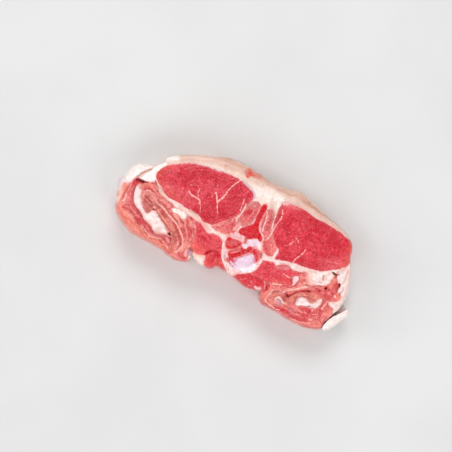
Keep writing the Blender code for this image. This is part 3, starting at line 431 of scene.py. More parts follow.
    ("warm", 0.9, 0.20, 0.0, "fat_edge_right", ((65.8, 5.0), (66.8, -1.0), (66.6, -8.0))),
    ("warm", 1.2, 0.15, 0.0, "fat_edge_right", ((62.0, -13.8), (65.4, -13.0), (66.4, -10.0))),
    # Backbone: the red spongy bone inside, its pale compact rim, and the canal
    ("blood", -0.30, 1.00, -0.20, "vertebra", ((0.1, 22.4), (-1.3, 21.4), (-1.7, 18.0), (-1.6, 14.0), (-1.4, 11.0), (-1.6, 8.8), (-2.4, 7.3), (-4.0, 6.0), (-6.0, 4.5), (-7.2, 2.6), (-7.6, 0.8), (-6.8, -0.3), (-5.4, -0.5), (-4.0, -0.3), (-2.4, -0.8), (-0.6, -1.5), (0.6, -1.0), (1.6, -0.2), (2.8, 0.7), (4.8, 1.3), (6.6, 0.5), (7.4, 1.2), (7.0, 3.0), (5.7, 4.5), (3.9, 5.8), (2.8, 7.2), (1.9, 8.8), (1.5, 11.0), (1.5, 15.0), (1.7, 19.0), (1.3, 21.5))),
    ("dark", 0.60, 0.42, -0.10, "vertebra", ((0.1, 21.0), (0.0, 17.5), (0.2, 14.2))),
    ("dark", 0.45, 0.38, -0.10, "vertebra", ((0.1, 12.2), (-0.4, 9.4), (0.2, 8.0))),
    ("dark", 0.55, 0.60, -0.25, "vertebra", ((2.2, 2.1), (1.2, 1.2), (0.2, 0.3), (-0.4, -0.3))),
    ("dark", 0.45, 0.50, -0.15, "vertebra", ((-6.2, 1.5), (-4.8, 2.4), (-3.0, 2.8))),
    ("dark", 0.40, 0.40, -0.10, "vertebra", ((1.4, 6.6), (2.8, 4.8))),
    ("warm", 0.9, 0.80, 0.0, "vertebra", ((4.6, 2.6), (6.2, 1.9))),
    ("warm", 0.6, 0.40, 0.0, "vertebra", ((-6.6, 1.2), (-7.4, -0.2))),
    ("pale", 0.50, 0.60, 0.05, "vertebra", ((-1.3, 1.9), (-1.2, 0.4))),
    ("pale", 0.35, 0.45, 0.05, "vertebra", ((-3.0, 1.4), (-2.4, 0.6))),
    ("vein", 0.42, 0.52, 0.10, "vertebra", ((2.2, 21.2), (2.1, 16.5), (2.05, 12.0), (2.6, 9.5), (3.5, 7.8), (5.1, 6.2), (6.8, 4.8), (7.9, 3.2), (8.3, 1.0))),
    ("vein", 0.38, 0.48, 0.08, "vertebra", ((-2.2, 20.6), (-2.1, 15.0), (-2.0, 10.4), (-2.6, 8.2), (-4.3, 6.7), (-6.4, 5.1))),
    ("vein", 0.90, 0.28, 0.0, "vertebra", ((-5.6, 0.8), (-3.2, 1.2), (-1.6, 1.8), (0.4, 2.2))),
    ("pale", 0.90, 0.95, 0.12, "vertebra", ((-6.6, 4.6), (-8.2, 3.2), (-8.7, 1.2))),
    ("pale", 0.9, 0.50, 0.0, "vertebra", ((-8.6, -1.2), (-6.8, -1.6))),
    ("pale", 0.7, 0.55, 0.0, "vertebra", ((-3.8, -1.4), (-3.0, -2.6))),
    ("deep", 0.55, 0.40, -0.05, "vertebra", ((-9.4, -3.3), (-8.4, -3.5))),
    ("grey", 0.8, 0.50, 0.0, "vertebra", ((-7.4, -1.8), (-4.6, -2.0))),
    ("grey", 0.6, 0.45, 0.0, "vertebra", ((-10.6, -2.9), (-8.8, -3.1))),
    ("warm", 0.7, 0.40, 0.0, "vertebra", ((-8.4, -0.6), (-6.0, -1.0), (-4.4, -1.6))),
    ("pale", 0.8, 0.25, 0.06, "vertebra", ((-10.6, -3.9), (-7.6, -3.9), (-4.2, -3.9))),
    ("grey", -0.45, 0.90, 0.05, "vertebra", ((0.2, -1.8), (1.6, -0.7), (4.2, 0.5), (6.6, 0.2), (6.0, -2.4), (3.6, -4.2), (1.6, -4.9), (1.1, -6.6), (-0.6, -6.8), (-2.2, -6.0), (-1.4, -4.8), (-0.5, -4.0))),
    ("pale", 1.0, 0.95, 0.10, "vertebra", ((5.6, -0.8), (7.2, -1.6), (8.6, -3.0))),
    ("pale", 0.7, 0.90, 0.0, "vertebra", ((-0.8, -6.2), (0.8, -6.2))),
    ("deep", 0.70, 0.80, -0.35, "vertebra", ((-1.7, -0.9), (-1.3, -2.6), (-1.0, -4.2))),
    ("blood", 0.8, 0.30, 0.0, "vertebra", ((-2.2, -1.0), (-1.8, -2.8), (-1.2, -4.0))),
    ("blood", -0.35, 0.62, -0.15, "vertebra", ((-11.9, -5.3), (-8.0, -4.9), (-5.0, -4.8), (-2.8, -5.0), (-2.6, -7.1), (-3.5, -7.9), (-5.0, -8.9), (-6.8, -10.4), (-7.8, -11.7), (-9.0, -12.2), (-10.8, -11.5), (-11.7, -9.5), (-12.1, -7.2))),
    ("blood", 0.8, 0.85, 0.0, "vertebra", ((-11.2, -6.2), (-9.8, -6.4))),
    ("blood", 0.9, 0.80, 0.0, "vertebra", ((-10.6, -10.4), (-8.4, -10.8), (-6.6, -10.0), (-4.4, -8.4))),
    ("blood", 0.8, 0.75, 0.0, "vertebra", ((-5.4, -6.0), (-3.8, -6.6))),
    ("dark", 0.40, 0.42, -0.15, "vertebra", ((-3.0, -7.6), (-5.2, -9.0), (-6.8, -10.6))),
    ("dark", 0.45, 0.30, -0.10, "vertebra", ((-9.8, -10.4), (-9.0, -8.6))),
    ("dark", 0.30, 0.30, -0.10, "vertebra", ((-3.3, -5.6), (-3.2, -6.8))),
    ("pale", 0.45, 0.30, 0.04, "vertebra", ((-10.4, -7.0), (-8.6, -8.2))),
    ("pale", 0.40, 0.28, 0.04, "vertebra", ((-6.6, -6.4), (-5.4, -7.8))),
    ("blood", -0.35, 0.55, -0.05, "vertebra", ((-2.4, -8.2), (-1.8, -9.6), (-4.0, -11.6), (-7.0, -14.1), (-8.0, -14.2), (-7.4, -12.4), (-5.4, -10.4), (-3.6, -8.9))),
    ("dark", 0.34, 0.50, -0.15, "vertebra", ((-2.9, -7.9), (-4.4, -8.9), (-6.2, -10.4), (-7.6, -11.6))),
    ("deep", 0.40, 0.40, -0.10, "vertebra", ((-3.4, -9.7), (-3.9, -10.7))),
    ("blood", -0.30, 1.00, -0.40, "vertebra", ((3.9, -4.6), (4.6, -6.2), (3.8, -8.2), (2.4, -9.9), (0.4, -12.0), (-1.6, -13.8), (-3.4, -15.4), (-5.0, -16.8), (-6.4, -15.8), (-7.8, -14.6), (-5.2, -13.3), (-2.8, -11.2), (-1.5, -9.6), (-1.8, -7.4), (0.0, -7.7), (1.3, -7.1), (1.8, -5.6), (2.7, -4.7))),
    ("blood", 0.55, 1.00, 0.0, "cartilage_disc", ((2.6, -9.6), (1.0, -11.4), (-0.6, -12.9), (-2.4, -14.4))),
    ("blood", 0.9, 0.80, 0.0, "", ((-5.4, -17.2), (-4.0, -17.0), (-2.6, -17.4))),
    ("blood", 0.8, 0.45, 0.0, "cartilage_disc", ((-3.2, -15.4), (-1.6, -15.0), (-2.0, -17.6))),
    ("blood", 0.9, 0.40, 0.0, "cartilage_disc", ((8.6, -10.4), (9.4, -12.2))),
    ("deep", 0.70, 0.60, -0.05, "cartilage_disc", ((7.7, -11.6), (7.9, -13.2))),
    ("dark", 0.50, 0.62, -0.25, "", ((-3.4, -19.4), (-2.2, -19.8), (-1.0, -20.1))),
    ("dark", -0.40, 0.50, -0.25, "vertebra", ((3.6, -5.2), (3.7, -6.6), (2.2, -8.8), (0.2, -10.9), (-2.0, -12.6), (-2.2, -11.6), (-0.8, -10.2), (0.8, -8.8), (2.0, -7.2), (2.3, -5.8))),
    ("dark", 0.35, 0.45, -0.15, "vertebra", ((-7.2, -14.6), (-5.4, -15.4), (-4.0, -14.8))),
    ("blood", -0.45, 0.56, -0.10, "vertebra", ((4.2, -5.2), (6.0, -4.7), (8.4, -4.8), (10.4, -5.6), (11.4, -7.3), (11.2, -9.5), (10.6, -11.4), (9.6, -11.6), (8.2, -10.2), (6.8, -8.9), (5.0, -8.6), (3.5, -8.6), (3.9, -7.0))),
    ("blood", 0.9, 0.72, 0.0, "vertebra", ((5.8, -6.6), (7.6, -7.2), (9.2, -9.0), (9.8, -10.8))),
    ("dark", 0.50, 0.60, -0.10, "vertebra", ((10.4, -5.6), (11.4, -6.8), (11.7, -8.2))),
    ("pale", 0.50, 0.40, 0.05, "vertebra", ((7.2, -5.4), (9.2, -6.0), (10.2, -7.4))),
    ("dark", 0.40, 0.30, -0.10, "vertebra", ((6.4, -7.6), (8.6, -8.6))),
    ("grey", 0.50, 0.85, -0.05, "vertebra", ((11.6, -6.4), (11.9, -7.6))),
    ("vein", 0.50, 0.95, 0.15, "vertebra", ((-12.9, -6.2), (-12.9, -9.2), (-12.3, -12.2), (-11.4, -15.4), (-10.0, -18.0), (-7.8, -20.2), (-5.4, -22.2), (-3.6, -23.9), (-2.6, -25.2))),
    ("pale", -0.50, 0.62, 0.10, "vertebra", ((-6.9, -19.2), (-3.2, -20.1), (2.0, -21.0), (6.6, -19.9), (8.6, -19.6), (4.4, -22.6), (0.4, -25.0), (-3.0, -26.2), (-3.8, -24.0), (-7.2, -21.0))),
    ("vein", 0.60, 0.95, 0.15, "vertebra", ((12.4, -6.6), (12.6, -10.4), (11.9, -14.4), (10.9, -17.4), (8.6, -19.9))),
    ("warm", 0.6, 0.35, 0.0, "vertebra", ((1.0, -24.0), (4.6, -21.6))),
    ("deep", 0.45, 0.55, -0.15, "vertebra", ((-3.0, -23.2), (-3.2, -24.6))),
    ("pale", -0.60, 0.55, 0.0, "vertebra", ((-12.0, -11.9), (-9.4, -12.6), (-8.0, -14.2), (-7.0, -16.8), (-6.2, -18.8), (-9.0, -18.4), (-11.2, -15.2))),
    ("deep", 0.55, 0.45, -0.12, "vertebra", ((-10.2, -14.2), (-9.0, -16.4), (-8.6, -17.4))),
    ("grey", 0.60, 0.50, 0.0, "vertebra", ((-10.8, -13.4), (-9.8, -15.2))),
    ("dark", 0.60, 0.72, -0.18, "vertebra", ((-6.9, -17.0), (-6.6, -18.0))),
    ("dark", 0.30, 0.40, -0.12, "vertebra", ((-10.0, -12.9), (-9.2, -13.4))),
    ("blood", 0.9, 0.45, 0.0, "vertebra", ((-7.4, -18.4), (-5.6, -18.6), (-3.6, -18.6))),
    ("deep", 0.28, 0.80, -0.20, "vertebra", ((-3.8, -19.2), (-2.2, -19.8), (-0.6, -20.4), (1.0, -20.3))),
    ("blood", 0.70, 0.48, -0.05, "cartilage_disc", ((4.6, -8.8), (2.2, -10.9), (-0.4, -13.1), (-3.0, -15.2), (-4.2, -16.6))),
    ("blood", 0.60, 0.30, 0.0, "cartilage_disc", ((-3.8, -17.4), (-2.0, -18.2), (-0.4, -18.6))),
    ("grey", -1.40, 0.50, 0.0, "cartilage_disc", ((4.6, -10.4), (6.8, -10.6), (7.8, -12.6), (6.4, -15.4), (3.0, -17.8), (-0.6, -18.4), (-1.8, -16.8), (1.0, -13.8))),
    ("deep", 0.60, 0.45, -0.08, "cartilage_disc", ((7.4, -10.8), (8.0, -12.6), (7.2, -14.2))),
    ("pale", -0.60, 0.95, 0.08, "cartilage_disc", ((10.6, -12.4), (8.8, -13.8), (7.4, -16.0), (4.4, -18.4), (2.0, -19.8), (5.2, -20.6), (9.6, -18.6), (11.4, -15.4))),
    # Small muscles beside the spine
    ("blood", 1.3, 0.90, -0.08, "multifidus_left_inner", ((-8.2, 12.4), (-6.6, 14.4))),
    ("deep", 1.3, 0.40, -0.05, "multifidus_left_inner", ((-9.0, 17.2), (-7.0, 19.4), (-4.6, 20.4))),
    ("deep", 1.0, 0.40, -0.05, "multifidus_right_inner", ((4.4, 20.2), (6.6, 19.2), (8.0, 17.0))),
    ("pale", 1.1, 0.80, 0.0, "multifidus_left", ((-9.4, 4.6), (-9.6, 2.6), (-10.4, 1.2))),
    ("vein", 0.8, 0.50, 0.0, "multifidus_left_outer", ((-11.8, -3.2), (-10.2, -2.2), (-8.8, -0.8))),
    ("dark", 0.50, 0.75, -0.20, "multifidus_left_inner", ((-6.6, 13.0), (-6.2, 14.0))),
    ("blood", 0.9, 0.35, 0.0, "multifidus_left_inner", ((-3.4, 18.4), (-3.2, 13.6))),
    ("grey", 0.5, 0.45, -0.05, "multifidus_left_inner", ((-8.0, 19.6), (-9.2, 15.0), (-9.8, 10.0))),
    ("grey", 0.5, 0.45, -0.05, "multifidus_left_inner", ((-2.6, 18.0), (-2.8, 11.0), (-4.6, 7.0))),
    ("deep", 1.2, 0.30, 0.0, "multifidus_left_inner", ((-9.2, 6.4), (-6.0, 6.0))),
    ("vein", 0.30, 0.45, 0.04, "multifidus_left_inner", ((-5.0, 20.0), (-5.2, 16.4), (-4.6, 12.0))),
    ("vein", 0.36, 0.85, 0.06, "multifidus_right", ((3.0, 18.6), (3.9, 15.6), (4.4, 12.6), (4.6, 9.4), (5.5, 6.6))),
    ("vein", 0.40, 0.90, 0.08, "", ((8.4, 18.4), (8.7, 16.4), (9.0, 13.6), (10.2, 10.0), (10.7, 7.4), (10.1, 4.2))),
    ("vein", 0.44, 0.95, 0.10, "", ((-10.9, 17.0), (-10.6, 14.0), (-11.1, 10.8), (-12.0, 7.8), (-11.8, 5.2))),
    ("vein", 0.34, 0.60, 0.06, "", ((-12.2, 7.6), (-15.6, 3.0), (-20.2, -1.4))),
    ("deep", 0.60, 0.60, -0.10, "multifidus_right_inner", ((3.6, 19.4), (3.4, 14.0), (4.0, 8.8))),
    ("grey", 0.5, 0.40, -0.05, "multifidus_right_inner", ((6.8, 18.6), (8.2, 13.4), (9.4, 8.4))),
    ("blood", 1.1, 0.30, 0.0, "multifidus_right_inner", ((7.2, 15.6), (7.4, 10.0))),
    ("vein", 0.26, 0.40, 0.04, "multifidus_right_inner", ((7.4, 12.6), (7.9, 8.6), (8.0, 5.2))),
    ("vein", 0.28, 0.45, 0.04, "multifidus_left_outer", ((-20.4, -2.4), (-16.6, 0.4), (-13.0, 4.2))),
    ("blood", 1.2, 0.22, 0.0, "multifidus_left_outer", ((-14.4, -1.8), (-12.4, 1.4))),
    ("blood", 1.4, 0.28, 0.0, "multifidus_right_outer", ((12.6, -1.8), (12.8, 2.0))),
    ("vein", 0.30, 0.45, 0.04, "multifidus_right_outer", ((16.4, -2.8), (14.2, 0.8), (11.6, 4.6))),
    ("pale", 0.9, 0.40, 0.0, "fat_seam_right", ((18.2, 1.0), (18.8, -1.4), (20.2, -3.6))),
    # Tenderloins and the small muscles under the backbone
    # A crease beside a pale seam: painted shade, with a drop of height.
    ("dark", 0.30, 0.34, -0.20, "tenderloin_left", ((-30.0, -12.3), (-28.0, -11.3), (-25.5, -10.5))),
    ("vein", 0.30, 0.40, 0.05, "tenderloin_left", ((-29.4, -11.2), (-26.4, -9.8))),
    ("vein", 0.26, 0.35, 0.04, "tenderloin_left", ((-17.4, -9.4), (-16.0, -13.0), (-16.2, -16.4))),
    ("warm", 2.0, 0.45, 0.0, "tenderloin_left", ((-28.0, -18.4), (-24.4, -20.6), (-20.4, -20.0))),
    ("blood", 1.8, 0.30, 0.0, "tenderloin_left", ((-22.0, -16.0), (-16.0, -16.6))),
    ("blood", 1.8, 0.25, 0.0, "tenderloin_left", ((-26.0, -13.8), (-20.0, -11.6))),
    # The crease between the left tenderloin and the small muscle under it: a deep red band, with painted shade in dark
    # lines and a drop of height.
    ("dark", 0.40, 0.42, -0.40, "tenderloin_left", ((-19.6, -20.2), (-17.6, -18.3), (-13.6, -17.6))),
    ("blood", 1.10, 1.00, -0.20, "", ((-19.4, -20.0), (-18.2, -18.2), (-15.8, -17.4), (-13.4, -17.4), (-12.2, -18.4))),
    ("blood", 0.60, 0.90, -0.20, "psoas_minor_left", ((-14.0, -18.2), (-14.6, -20.2), (-13.6, -22.2))),
    ("dark", 0.42, 0.40, -0.35, "psoas_minor_left", ((-19.2, -20.4), (-17.4, -17.9), (-13.4, -17.2), (-11.0, -18.6))),
    ("dark", 0.36, 0.38, -0.40, "psoas_minor_left", ((-13.6, -19.4), (-13.8, -21.8), (-13.4, -24.2))),
    ("blood", 1.8, 0.45, 0.0, "psoas_minor_left", ((-16.0, -20.0), (-15.4, -24.0))),
    ("blood", 1.4, 0.30, 0.0, "psoas_minor_left", ((-10.6, -19.4), (-9.0, -22.0))),
    ("deep", 0.35, 0.35, -0.15, "psoas_minor_left", ((-11.4, -21.4), (-10.4, -24.0))),
    ("vein", 0.30, 0.40, 0.05, "psoas_minor_left", ((-17.6, -21.4), (-16.8, -25.0))),
    # Under the raised pale streak: painted shade, with a drop of height.
    ("dark", 0.36, 0.40, -0.25, "tenderloin_right", ((29.2, -12.0), (30.8, -12.1))),
    ("vein", 0.40, 0.65, 0.08, "tenderloin_right", ((27.6, -10.6), (30.4, -11.2), (33.0, -11.0), (34.6, -9.9))),
    ("vein", 0.35, 0.60, 0.08, "tenderloin_right", ((25.0, -18.6), (27.0, -18.2), (29.6, -17.3))),
    # More painted shade under the streak, with a drop of height.
    ("dark", 0.34, 0.50, -0.30, "tenderloin_right", ((34.1, -10.9), (34.6, -12.0), (35.2, -13.4))),
    ("deep", 0.60, 0.50, -0.10, "tenderloin_right", ((33.0, -12.0), (34.4, -13.0))),
    ("deep", 0.45, 0.55, -0.15, "tenderloin_right", ((26.6, -5.5), (28.4, -5.4), (30.2, -5.8), (31.6, -7.2))),
    # A small pit: painted shade, with a drop of height.
    ("dark", 0.34, 0.55, -0.25, "", ((23.2, -7.6), (24.4, -7.0))),
    ("grey", 1.0, 0.28, 0.0, "tenderloin_right", ((28.2, -6.8), (24.4, -8.6), (22.4, -9.6))),
    ("blood", 1.2, 0.40, 0.0, "tenderloin_right", ((22.8, -14.6), (26.8, -14.4))),
    ("blood", 2.0, 0.28, 0.0, "tenderloin_right", ((16.0, -11.0), (24.0, -9.4))),
    ("blood", 1.8, 0.20, 0.0, "tenderloin_right", ((15.0, -17.6), (22.0, -17.0))),
    ("warm", 1.3, 0.30, 0.0, "tenderloin_right", ((24.0, -18.0), (30.0, -16.0), (34.8, -14.6))),
    ("vein", 0.26, 0.35, 0.04, "tenderloin_right", ((14.4, -13.4), (17.6, -14.0), (20.4, -12.6))),
    # The crease between the right tenderloin and the small muscle under it: painted shade, with a drop of height.
    ("dark", 0.40, 0.42, -0.40, "tenderloin_right", ((12.4, -19.9), (16.0, -20.1), (20.4, -19.9))),
    ("blood", 0.60, 0.80, -0.15, "psoas_minor_right", ((10.4, -20.6), (15.0, -20.8), (19.4, -20.8))),
    ("dark", 0.34, 0.34, -0.30, "psoas_minor_right", ((9.4, -20.0), (14.0, -20.2), (19.6, -20.3))),
    ("blood", 1.6, 0.35, 0.0, "psoas_minor_right", ((3.4, -24.0), (8.0, -21.6), (16.0, -22.0))),
    ("pale", -0.50, 0.80, 0.10, "psoas_minor_right", ((15.4, -25.4), (17.2, -24.9), (19.0, -24.2), (20.4, -24.6), (19.4, -26.2), (17.2, -26.8))),
    ("vein", 0.30, 0.40, 0.05, "psoas_minor_right", ((6.0, -25.2), (9.6, -23.4), (13.4, -24.0))),
    ("vein", 0.28, 0.45, 0.05, "psoas_minor_right", ((11.4, -26.8), (14.2, -25.8))),
    ("deep", 0.30, 0.35, -0.15, "psoas_minor_right", ((3.0, -25.6), (5.0, -24.2))),
    ("vein", 0.40, 0.60, 0.12, "psoas_minor_right", ((20.0, -20.4), (21.2, -22.2), (21.4, -24.2))),
    # Left flank, from its upper sheet to its outer one
    # The slit along the top of the upper sheet: painted near black as the shade in it, with a drop of height.
    ("dark", 0.74, 1.00, -1.10, "", ((-76.9, 1.7), (-75.4, 1.9), (-73.8, 2.1), (-72.8, 2.3))),
    ("dark", 0.36, 0.85, -0.80, "", ((-73.4, 2.3), (-72.0, 2.7), (-70.4, 3.1))),
    ("blood", 0.9, 0.75, 0.0, "flap_left", ((-75.6, 1.0), (-74.2, 1.0), (-73.0, 1.2))),
    ("blood", 1.2, 0.60, 0.0, "fat_core_left", ((-74.8, 0.6), (-73.6, -0.2), (-72.8, -1.2))),
    ("deep", 0.9, 0.40, 0.0, "", ((-76.0, 4.6), (-75.0, 6.6), (-73.4, 9.0), (-72.0, 11.2))),
    ("vein", 1.0, 0.75, 0.0, "flap_left_outer", ((-83.4, -8.6), (-82.4, -10.4), (-81.8, -11.8))),
    ("pale", 1.0, 0.50, 0.0, "flap_left", ((-77.4, -11.4), (-77.0, -13.6))),
    ("deep", 0.6, 0.60, 0.0, "fat_core_left", ((-55.8, -13.0), (-54.0, -13.0))),
    ("deep", 1.1, 0.42, 0.0, "fat_core_left", ((-52.6, -20.4), (-51.4, -19.4))),
    ("blood", 1.2, 0.35, 0.0, "flap_left", ((-41.8, -28.6), (-39.0, -28.2))),
    # The crease by the fat lump: a grey patch and a deep one, and a dark line painted as the shade in it, with a drop
    # of height.
    ("grey", 0.8, 1.00, -0.15, "", ((-29.8, -23.6), (-28.4, -24.4), (-28.2, -25.6))),
    ("deep", 0.7, 0.90, -0.10, "", ((-29.8, -22.7), (-28.4, -22.7), (-27.4, -23.6), (-27.8, -25.2))),
    ("dark", 0.40, 0.45, -0.30, "", ((-28.8, -22.5), (-27.8, -22.9), (-27.3, -23.8))),
    ("pale", 0.6, 0.80, 0.05, "flap_left", ((-31.0, -21.6), (-31.2, -23.6), (-30.6, -26.0), (-30.2, -27.0))),
    ("pale", 0.5, 0.80, 0.05, "flap_left", ((-27.9, -26.6), (-27.6, -28.0), (-27.6, -29.4))),
    ("blood", -0.60, 0.85, -0.20, "flap_left", ((-78.9, -1.2), (-78.0, 1.4), (-76.0, 1.9), (-72.6, 2.4), (-74.2, 1.0), (-75.9, -0.8), (-77.4, -2.4))),
    ("deep", 0.36, 0.75, -0.35, "", ((-68.2, 3.6), (-66.8, 4.0), (-65.9, 4.6), (-65.6, 5.0), (-66.8, 6.0))),
    ("deep", 0.42, 0.75, -0.40, "", ((-65.3, 4.6), (-64.2, 3.8), (-63.2, 2.7), (-62.4, 1.0))),
    ("warm", 1.0, 0.45, 0.0, "flap_left_upper", ((-72.0, 1.4), (-68.4, 2.2), (-65.4, 2.6))),
    ("blood", -0.35, 0.62, -0.12, "flap_left", ((-71.0, -2.8), (-69.6, -0.9), (-67.0, 0.4), (-65.8, 0.8), (-65.8, -0.4), (-68.4, -1.1), (-70.0, -2.8))),
    ("vein", 0.28, 0.62, 0.10, "flap_left", ((-71.2, -3.6), (-69.4, -1.9), (-67.2, -1.1), (-65.7, -0.8))),
    # The end of a slit: painted shade, with a drop of height.
    ("dark", 0.36, 0.85, -0.80, "", ((-65.5, -0.6), (-64.8, -0.8))),
    ("deep", -0.60, 0.75, -0.15, "flap_left", ((-68.2, -4.9), (-66.4, -4.7), (-64.4, -5.6), (-61.8, -6.8), (-62.2, -7.8), (-65.4, -6.9), (-67.8, -6.3))),
    ("blood", 0.7, 0.35, 0.0, "flap_left_inner", ((-67.2, -5.4), (-65.6, -5.9))),
    ("deep", -1.00, 0.45, 0.0, "flap_left_inner", ((-68.4, -6.6), (-64.4, -7.6), (-61.6, -9.6), (-62.0, -13.4), (-64.4, -13.8), (-66.6, -10.8))),
    ("pale", 0.9, 0.35, 0.0, "flap_left_inner", ((-70.4, -6.6), (-68.4, -9.0), (-66.4, -11.4), (-64.4, -13.6))),
    ("pale", 1.1, 0.28, 0.0, "flap_left_inner", ((-68.6, -3.0), (-64.4, -3.0), (-60.4, -5.2))),
    ("deep", 0.42, 0.70, -0.15, "flap_left", ((-61.6, -9.4), (-61.3, -8.2), (-60.0, -7.6), (-58.7, -8.2), (-58.6, -9.6))),
    ("vein", 0.40, 0.80, 0.12, "flap_left", ((-60.0, -9.0), (-59.4, -9.4))),
    # A hole: painted dark as the shade in it, with a drop of height.
    ("dark", 0.42, 0.95, -1.10, "", ((-60.2, -10.1), (-59.8, -10.2))),
    # The middle sheet, with the shaded line along the fat core
    ("deep", 0.50, 0.62, -0.35, "flap_left_middle", ((-76.0, -1.6), (-75.9, -4.4), (-75.0, -7.4), (-73.6, -10.2), (-72.2, -12.6), (-69.6, -14.2), (-66.4, -15.8), (-63.4, -18.2), (-60.4, -19.8), (-56.6, -20.8))),
    ("vein", 0.30, 0.42, 0.08, "flap_left_middle", ((-77.6, 0.0), (-77.2, -4.6), (-76.6, -8.6), (-75.6, -12.0))),
    ("blood", 1.1, 0.28, 0.0, "flap_left_middle", ((-77.6, -12.0), (-75.0, -13.6), (-71.6, -14.4), (-68.4, -16.0))),
    ("vein", 0.32, 0.45, 0.10, "flap_left_middle", ((-75.4, -12.4), (-72.6, -15.4), (-69.2, -17.0), (-66.0, -18.2), (-61.8, -20.6))),
    ("blood", 0.60, 0.72, -0.10, "flap_left", ((-77.4, -17.3), (-75.2, -16.9), (-72.6, -17.1), (-71.2, -17.7))),
    # The crease along the lower edge of the sheets: painted shade in a dark and a deep line, with a drop of height.
    ("dark", 0.30, 0.42, -0.55, "flap_left", ((-71.8, -17.9), (-69.8, -18.6), (-68.0, -19.5), (-66.4, -20.6), (-65.0, -21.6))),
    ("deep", 0.36, 0.50, -0.50, "flap_left", ((-65.0, -21.7), (-62.6, -22.4), (-60.6, -23.4), (-58.6, -24.9), (-56.8, -26.0))),
    ("blood", -0.60, 0.80, -0.10, "flap_left", ((-68.8, -19.0), (-66.0, -18.6), (-63.0, -18.8), (-61.2, -20.2), (-62.8, -21.5), (-65.4, -21.4), (-67.4, -20.5))),
    ("blood", 0.9, 0.40, 0.0, "flap_left_middle", ((-60.6, -21.0), (-57.6, -21.8))),
    ("vein", 0.40, 0.72, 0.16, "flap_left", ((-62.8, -22.4), (-60.9, -22.9), (-59.2, -23.9), (-57.6, -24.6), (-55.8, -25.2), (-53.0, -25.6), (-50.4, -25.1), (-48.6, -24.3), (-47.4, -24.4), (-46.4, -25.3), (-44.8, -26.1), (-43.0, -26.9), (-41.4, -27.9))),
    ("vein", 0.28, 0.50, 0.08, "flap_left", ((-59.4, -21.6), (-57.6, -22.8), (-55.6, -23.9), (-53.4, -24.3))),
    ("deep", -0.40, 0.62, -0.25, "flap_left_middle", ((-56.8, -20.8), (-54.6, -22.7), (-52.0, -23.3), (-48.6, -22.2), (-45.6, -21.0), (-42.8, -21.2), (-41.4, -22.6), (-41.2, -24.2), (-42.0, -23.4), (-43.0, -22.2), (-45.8, -22.0), (-49.0, -23.2), (-52.2, -24.3), (-55.2, -23.6))),
    ("blood", 0.5, 0.70, -0.10, "flap_left_middle", ((-43.6, -21.7), (-42.2, -22.0), (-41.6, -23.0))),
    # A crease on the middle sheet: painted shade, with a drop of height.
    ("dark", 0.28, 0.38, -0.25, "flap_left_middle", ((-51.2, -24.5), (-49.0, -23.8), (-46.8, -23.4), (-46.0, -24.2))),
    ("pale", 0.6, 0.50, 0.05, "flap_left_middle", ((-44.6, -23.2), (-43.2, -24.4))),
    ("blood", 0.55, 0.75, -0.20, "flap_left_outer", ((-49.0, -25.2), (-47.4, -25.7), (-46.8, -26.3))),
    # The outer sheet
    ("warm", -1.00, 0.60, 0.0, "flap_left_outer", ((-83.0, -4.0), (-80.6, -3.6), (-79.9, -8.0), (-80.4, -12.0), (-81.6, -12.0), (-82.6, -8.0))),
    ("deep", 0.50, 0.40, -0.10, "flap_left_outer", ((-79.6, -4.0), (-80.0, -7.0), (-80.2, -10.6), (-79.8, -13.2))),
    ("vein", 0.48, 0.80, 0.08, "flap_left_outer", ((-79.2, -8.4), (-78.7, -11.0), (-78.6, -13.2), (-79.5, -13.9))),
    ("pale", 0.8, 0.60, 0.0, "flap_left_outer", ((-83.0, -5.4), (-82.2, -9.6), (-81.6, -13.6))),
    ("warm", 1.3, 0.60, 0.0, "flap_left_outer", ((-79.8, -15.4), (-78.2, -17.2), (-76.8, -19.6))),
    ("warm", 2.2, 0.50, 0.0, "flap_left_outer", ((-77.0, -20.8), (-72.0, -23.4), (-66.0, -25.8), (-57.0, -27.4), (-46.0, -28.0))),
    ("pale", 0.8, 0.45, 0.0, "flap_left_outer", ((-75.4, -19.6), (-71.4, -19.9), (-68.4, -21.2))),
    ("vein", 0.28, 0.40, 0.08, "flap_left_outer", ((-76.0, -19.2), (-72.6, -19.2), (-69.8, -20.2), (-67.0, -22.0))),
    ("vein", 0.28, 0.36, 0.08, "flap_left_outer", ((-73.6, -22.2), (-68.0, -24.2), (-62.0, -25.8), (-55.0, -27.4), (-48.6, -27.0))),
    ("deep", 0.34, 0.30, -0.15, "flap_left_outer", ((-72.4, -21.4), (-67.6, -23.2), (-62.4, -24.6), (-58.8, -26.2))),
    ("vein", 0.34, 0.45, 0.05, "flap_left_outer", ((-71.2, -26.4), (-68.6, -27.6), (-62.0, -28.6), (-54.0, -29.0), (-46.6, -29.2))),
    ("blood", 0.8, 0.30, 0.0, "flap_left_outer", ((-66.2, -22.4), (-63.4, -23.4))),
    ("warm", 0.9, 0.95, 0.0, "flap_left", ((-42.0, -28.2), (-40.4, -28.6))),
    # The upper sheet, the long pale seam, and the inner sheet
    ("vein", 0.46, 0.84, 0.18, "flap_left", ((-59.6, -5.6), (-57.5, -6.2), (-54.2, -7.3), (-51.2, -8.8), (-49.0, -9.8), (-46.6, -10.8), (-44.1, -12.0), (-42.0, -13.1), (-40.4, -14.4), (-38.6, -15.9), (-37.0, -17.4), (-35.8, -19.1), (-35.0, -21.1), (-34.7, -22.8), (-35.2, -24.8), (-35.6, -26.2), (-36.6, -27.5), (-37.8, -28.2))),
    ("blood", 0.55, 0.42, -0.15, "flap_left", ((-46.0, -12.2), (-43.4, -13.6), (-41.2, -15.4), (-39.0, -17.4), (-37.2, -19.2), (-36.3, -21.4), (-36.2, -23.4))),
    ("deep", 0.55, 0.50, -0.20, "flap_left", ((-44.2, -13.0), (-41.4, -15.6), (-39.0, -18.0), (-37.0, -20.0), (-36.4, -22.6))),
    # A crease on the inner sheet: painted shade, with a drop of height.
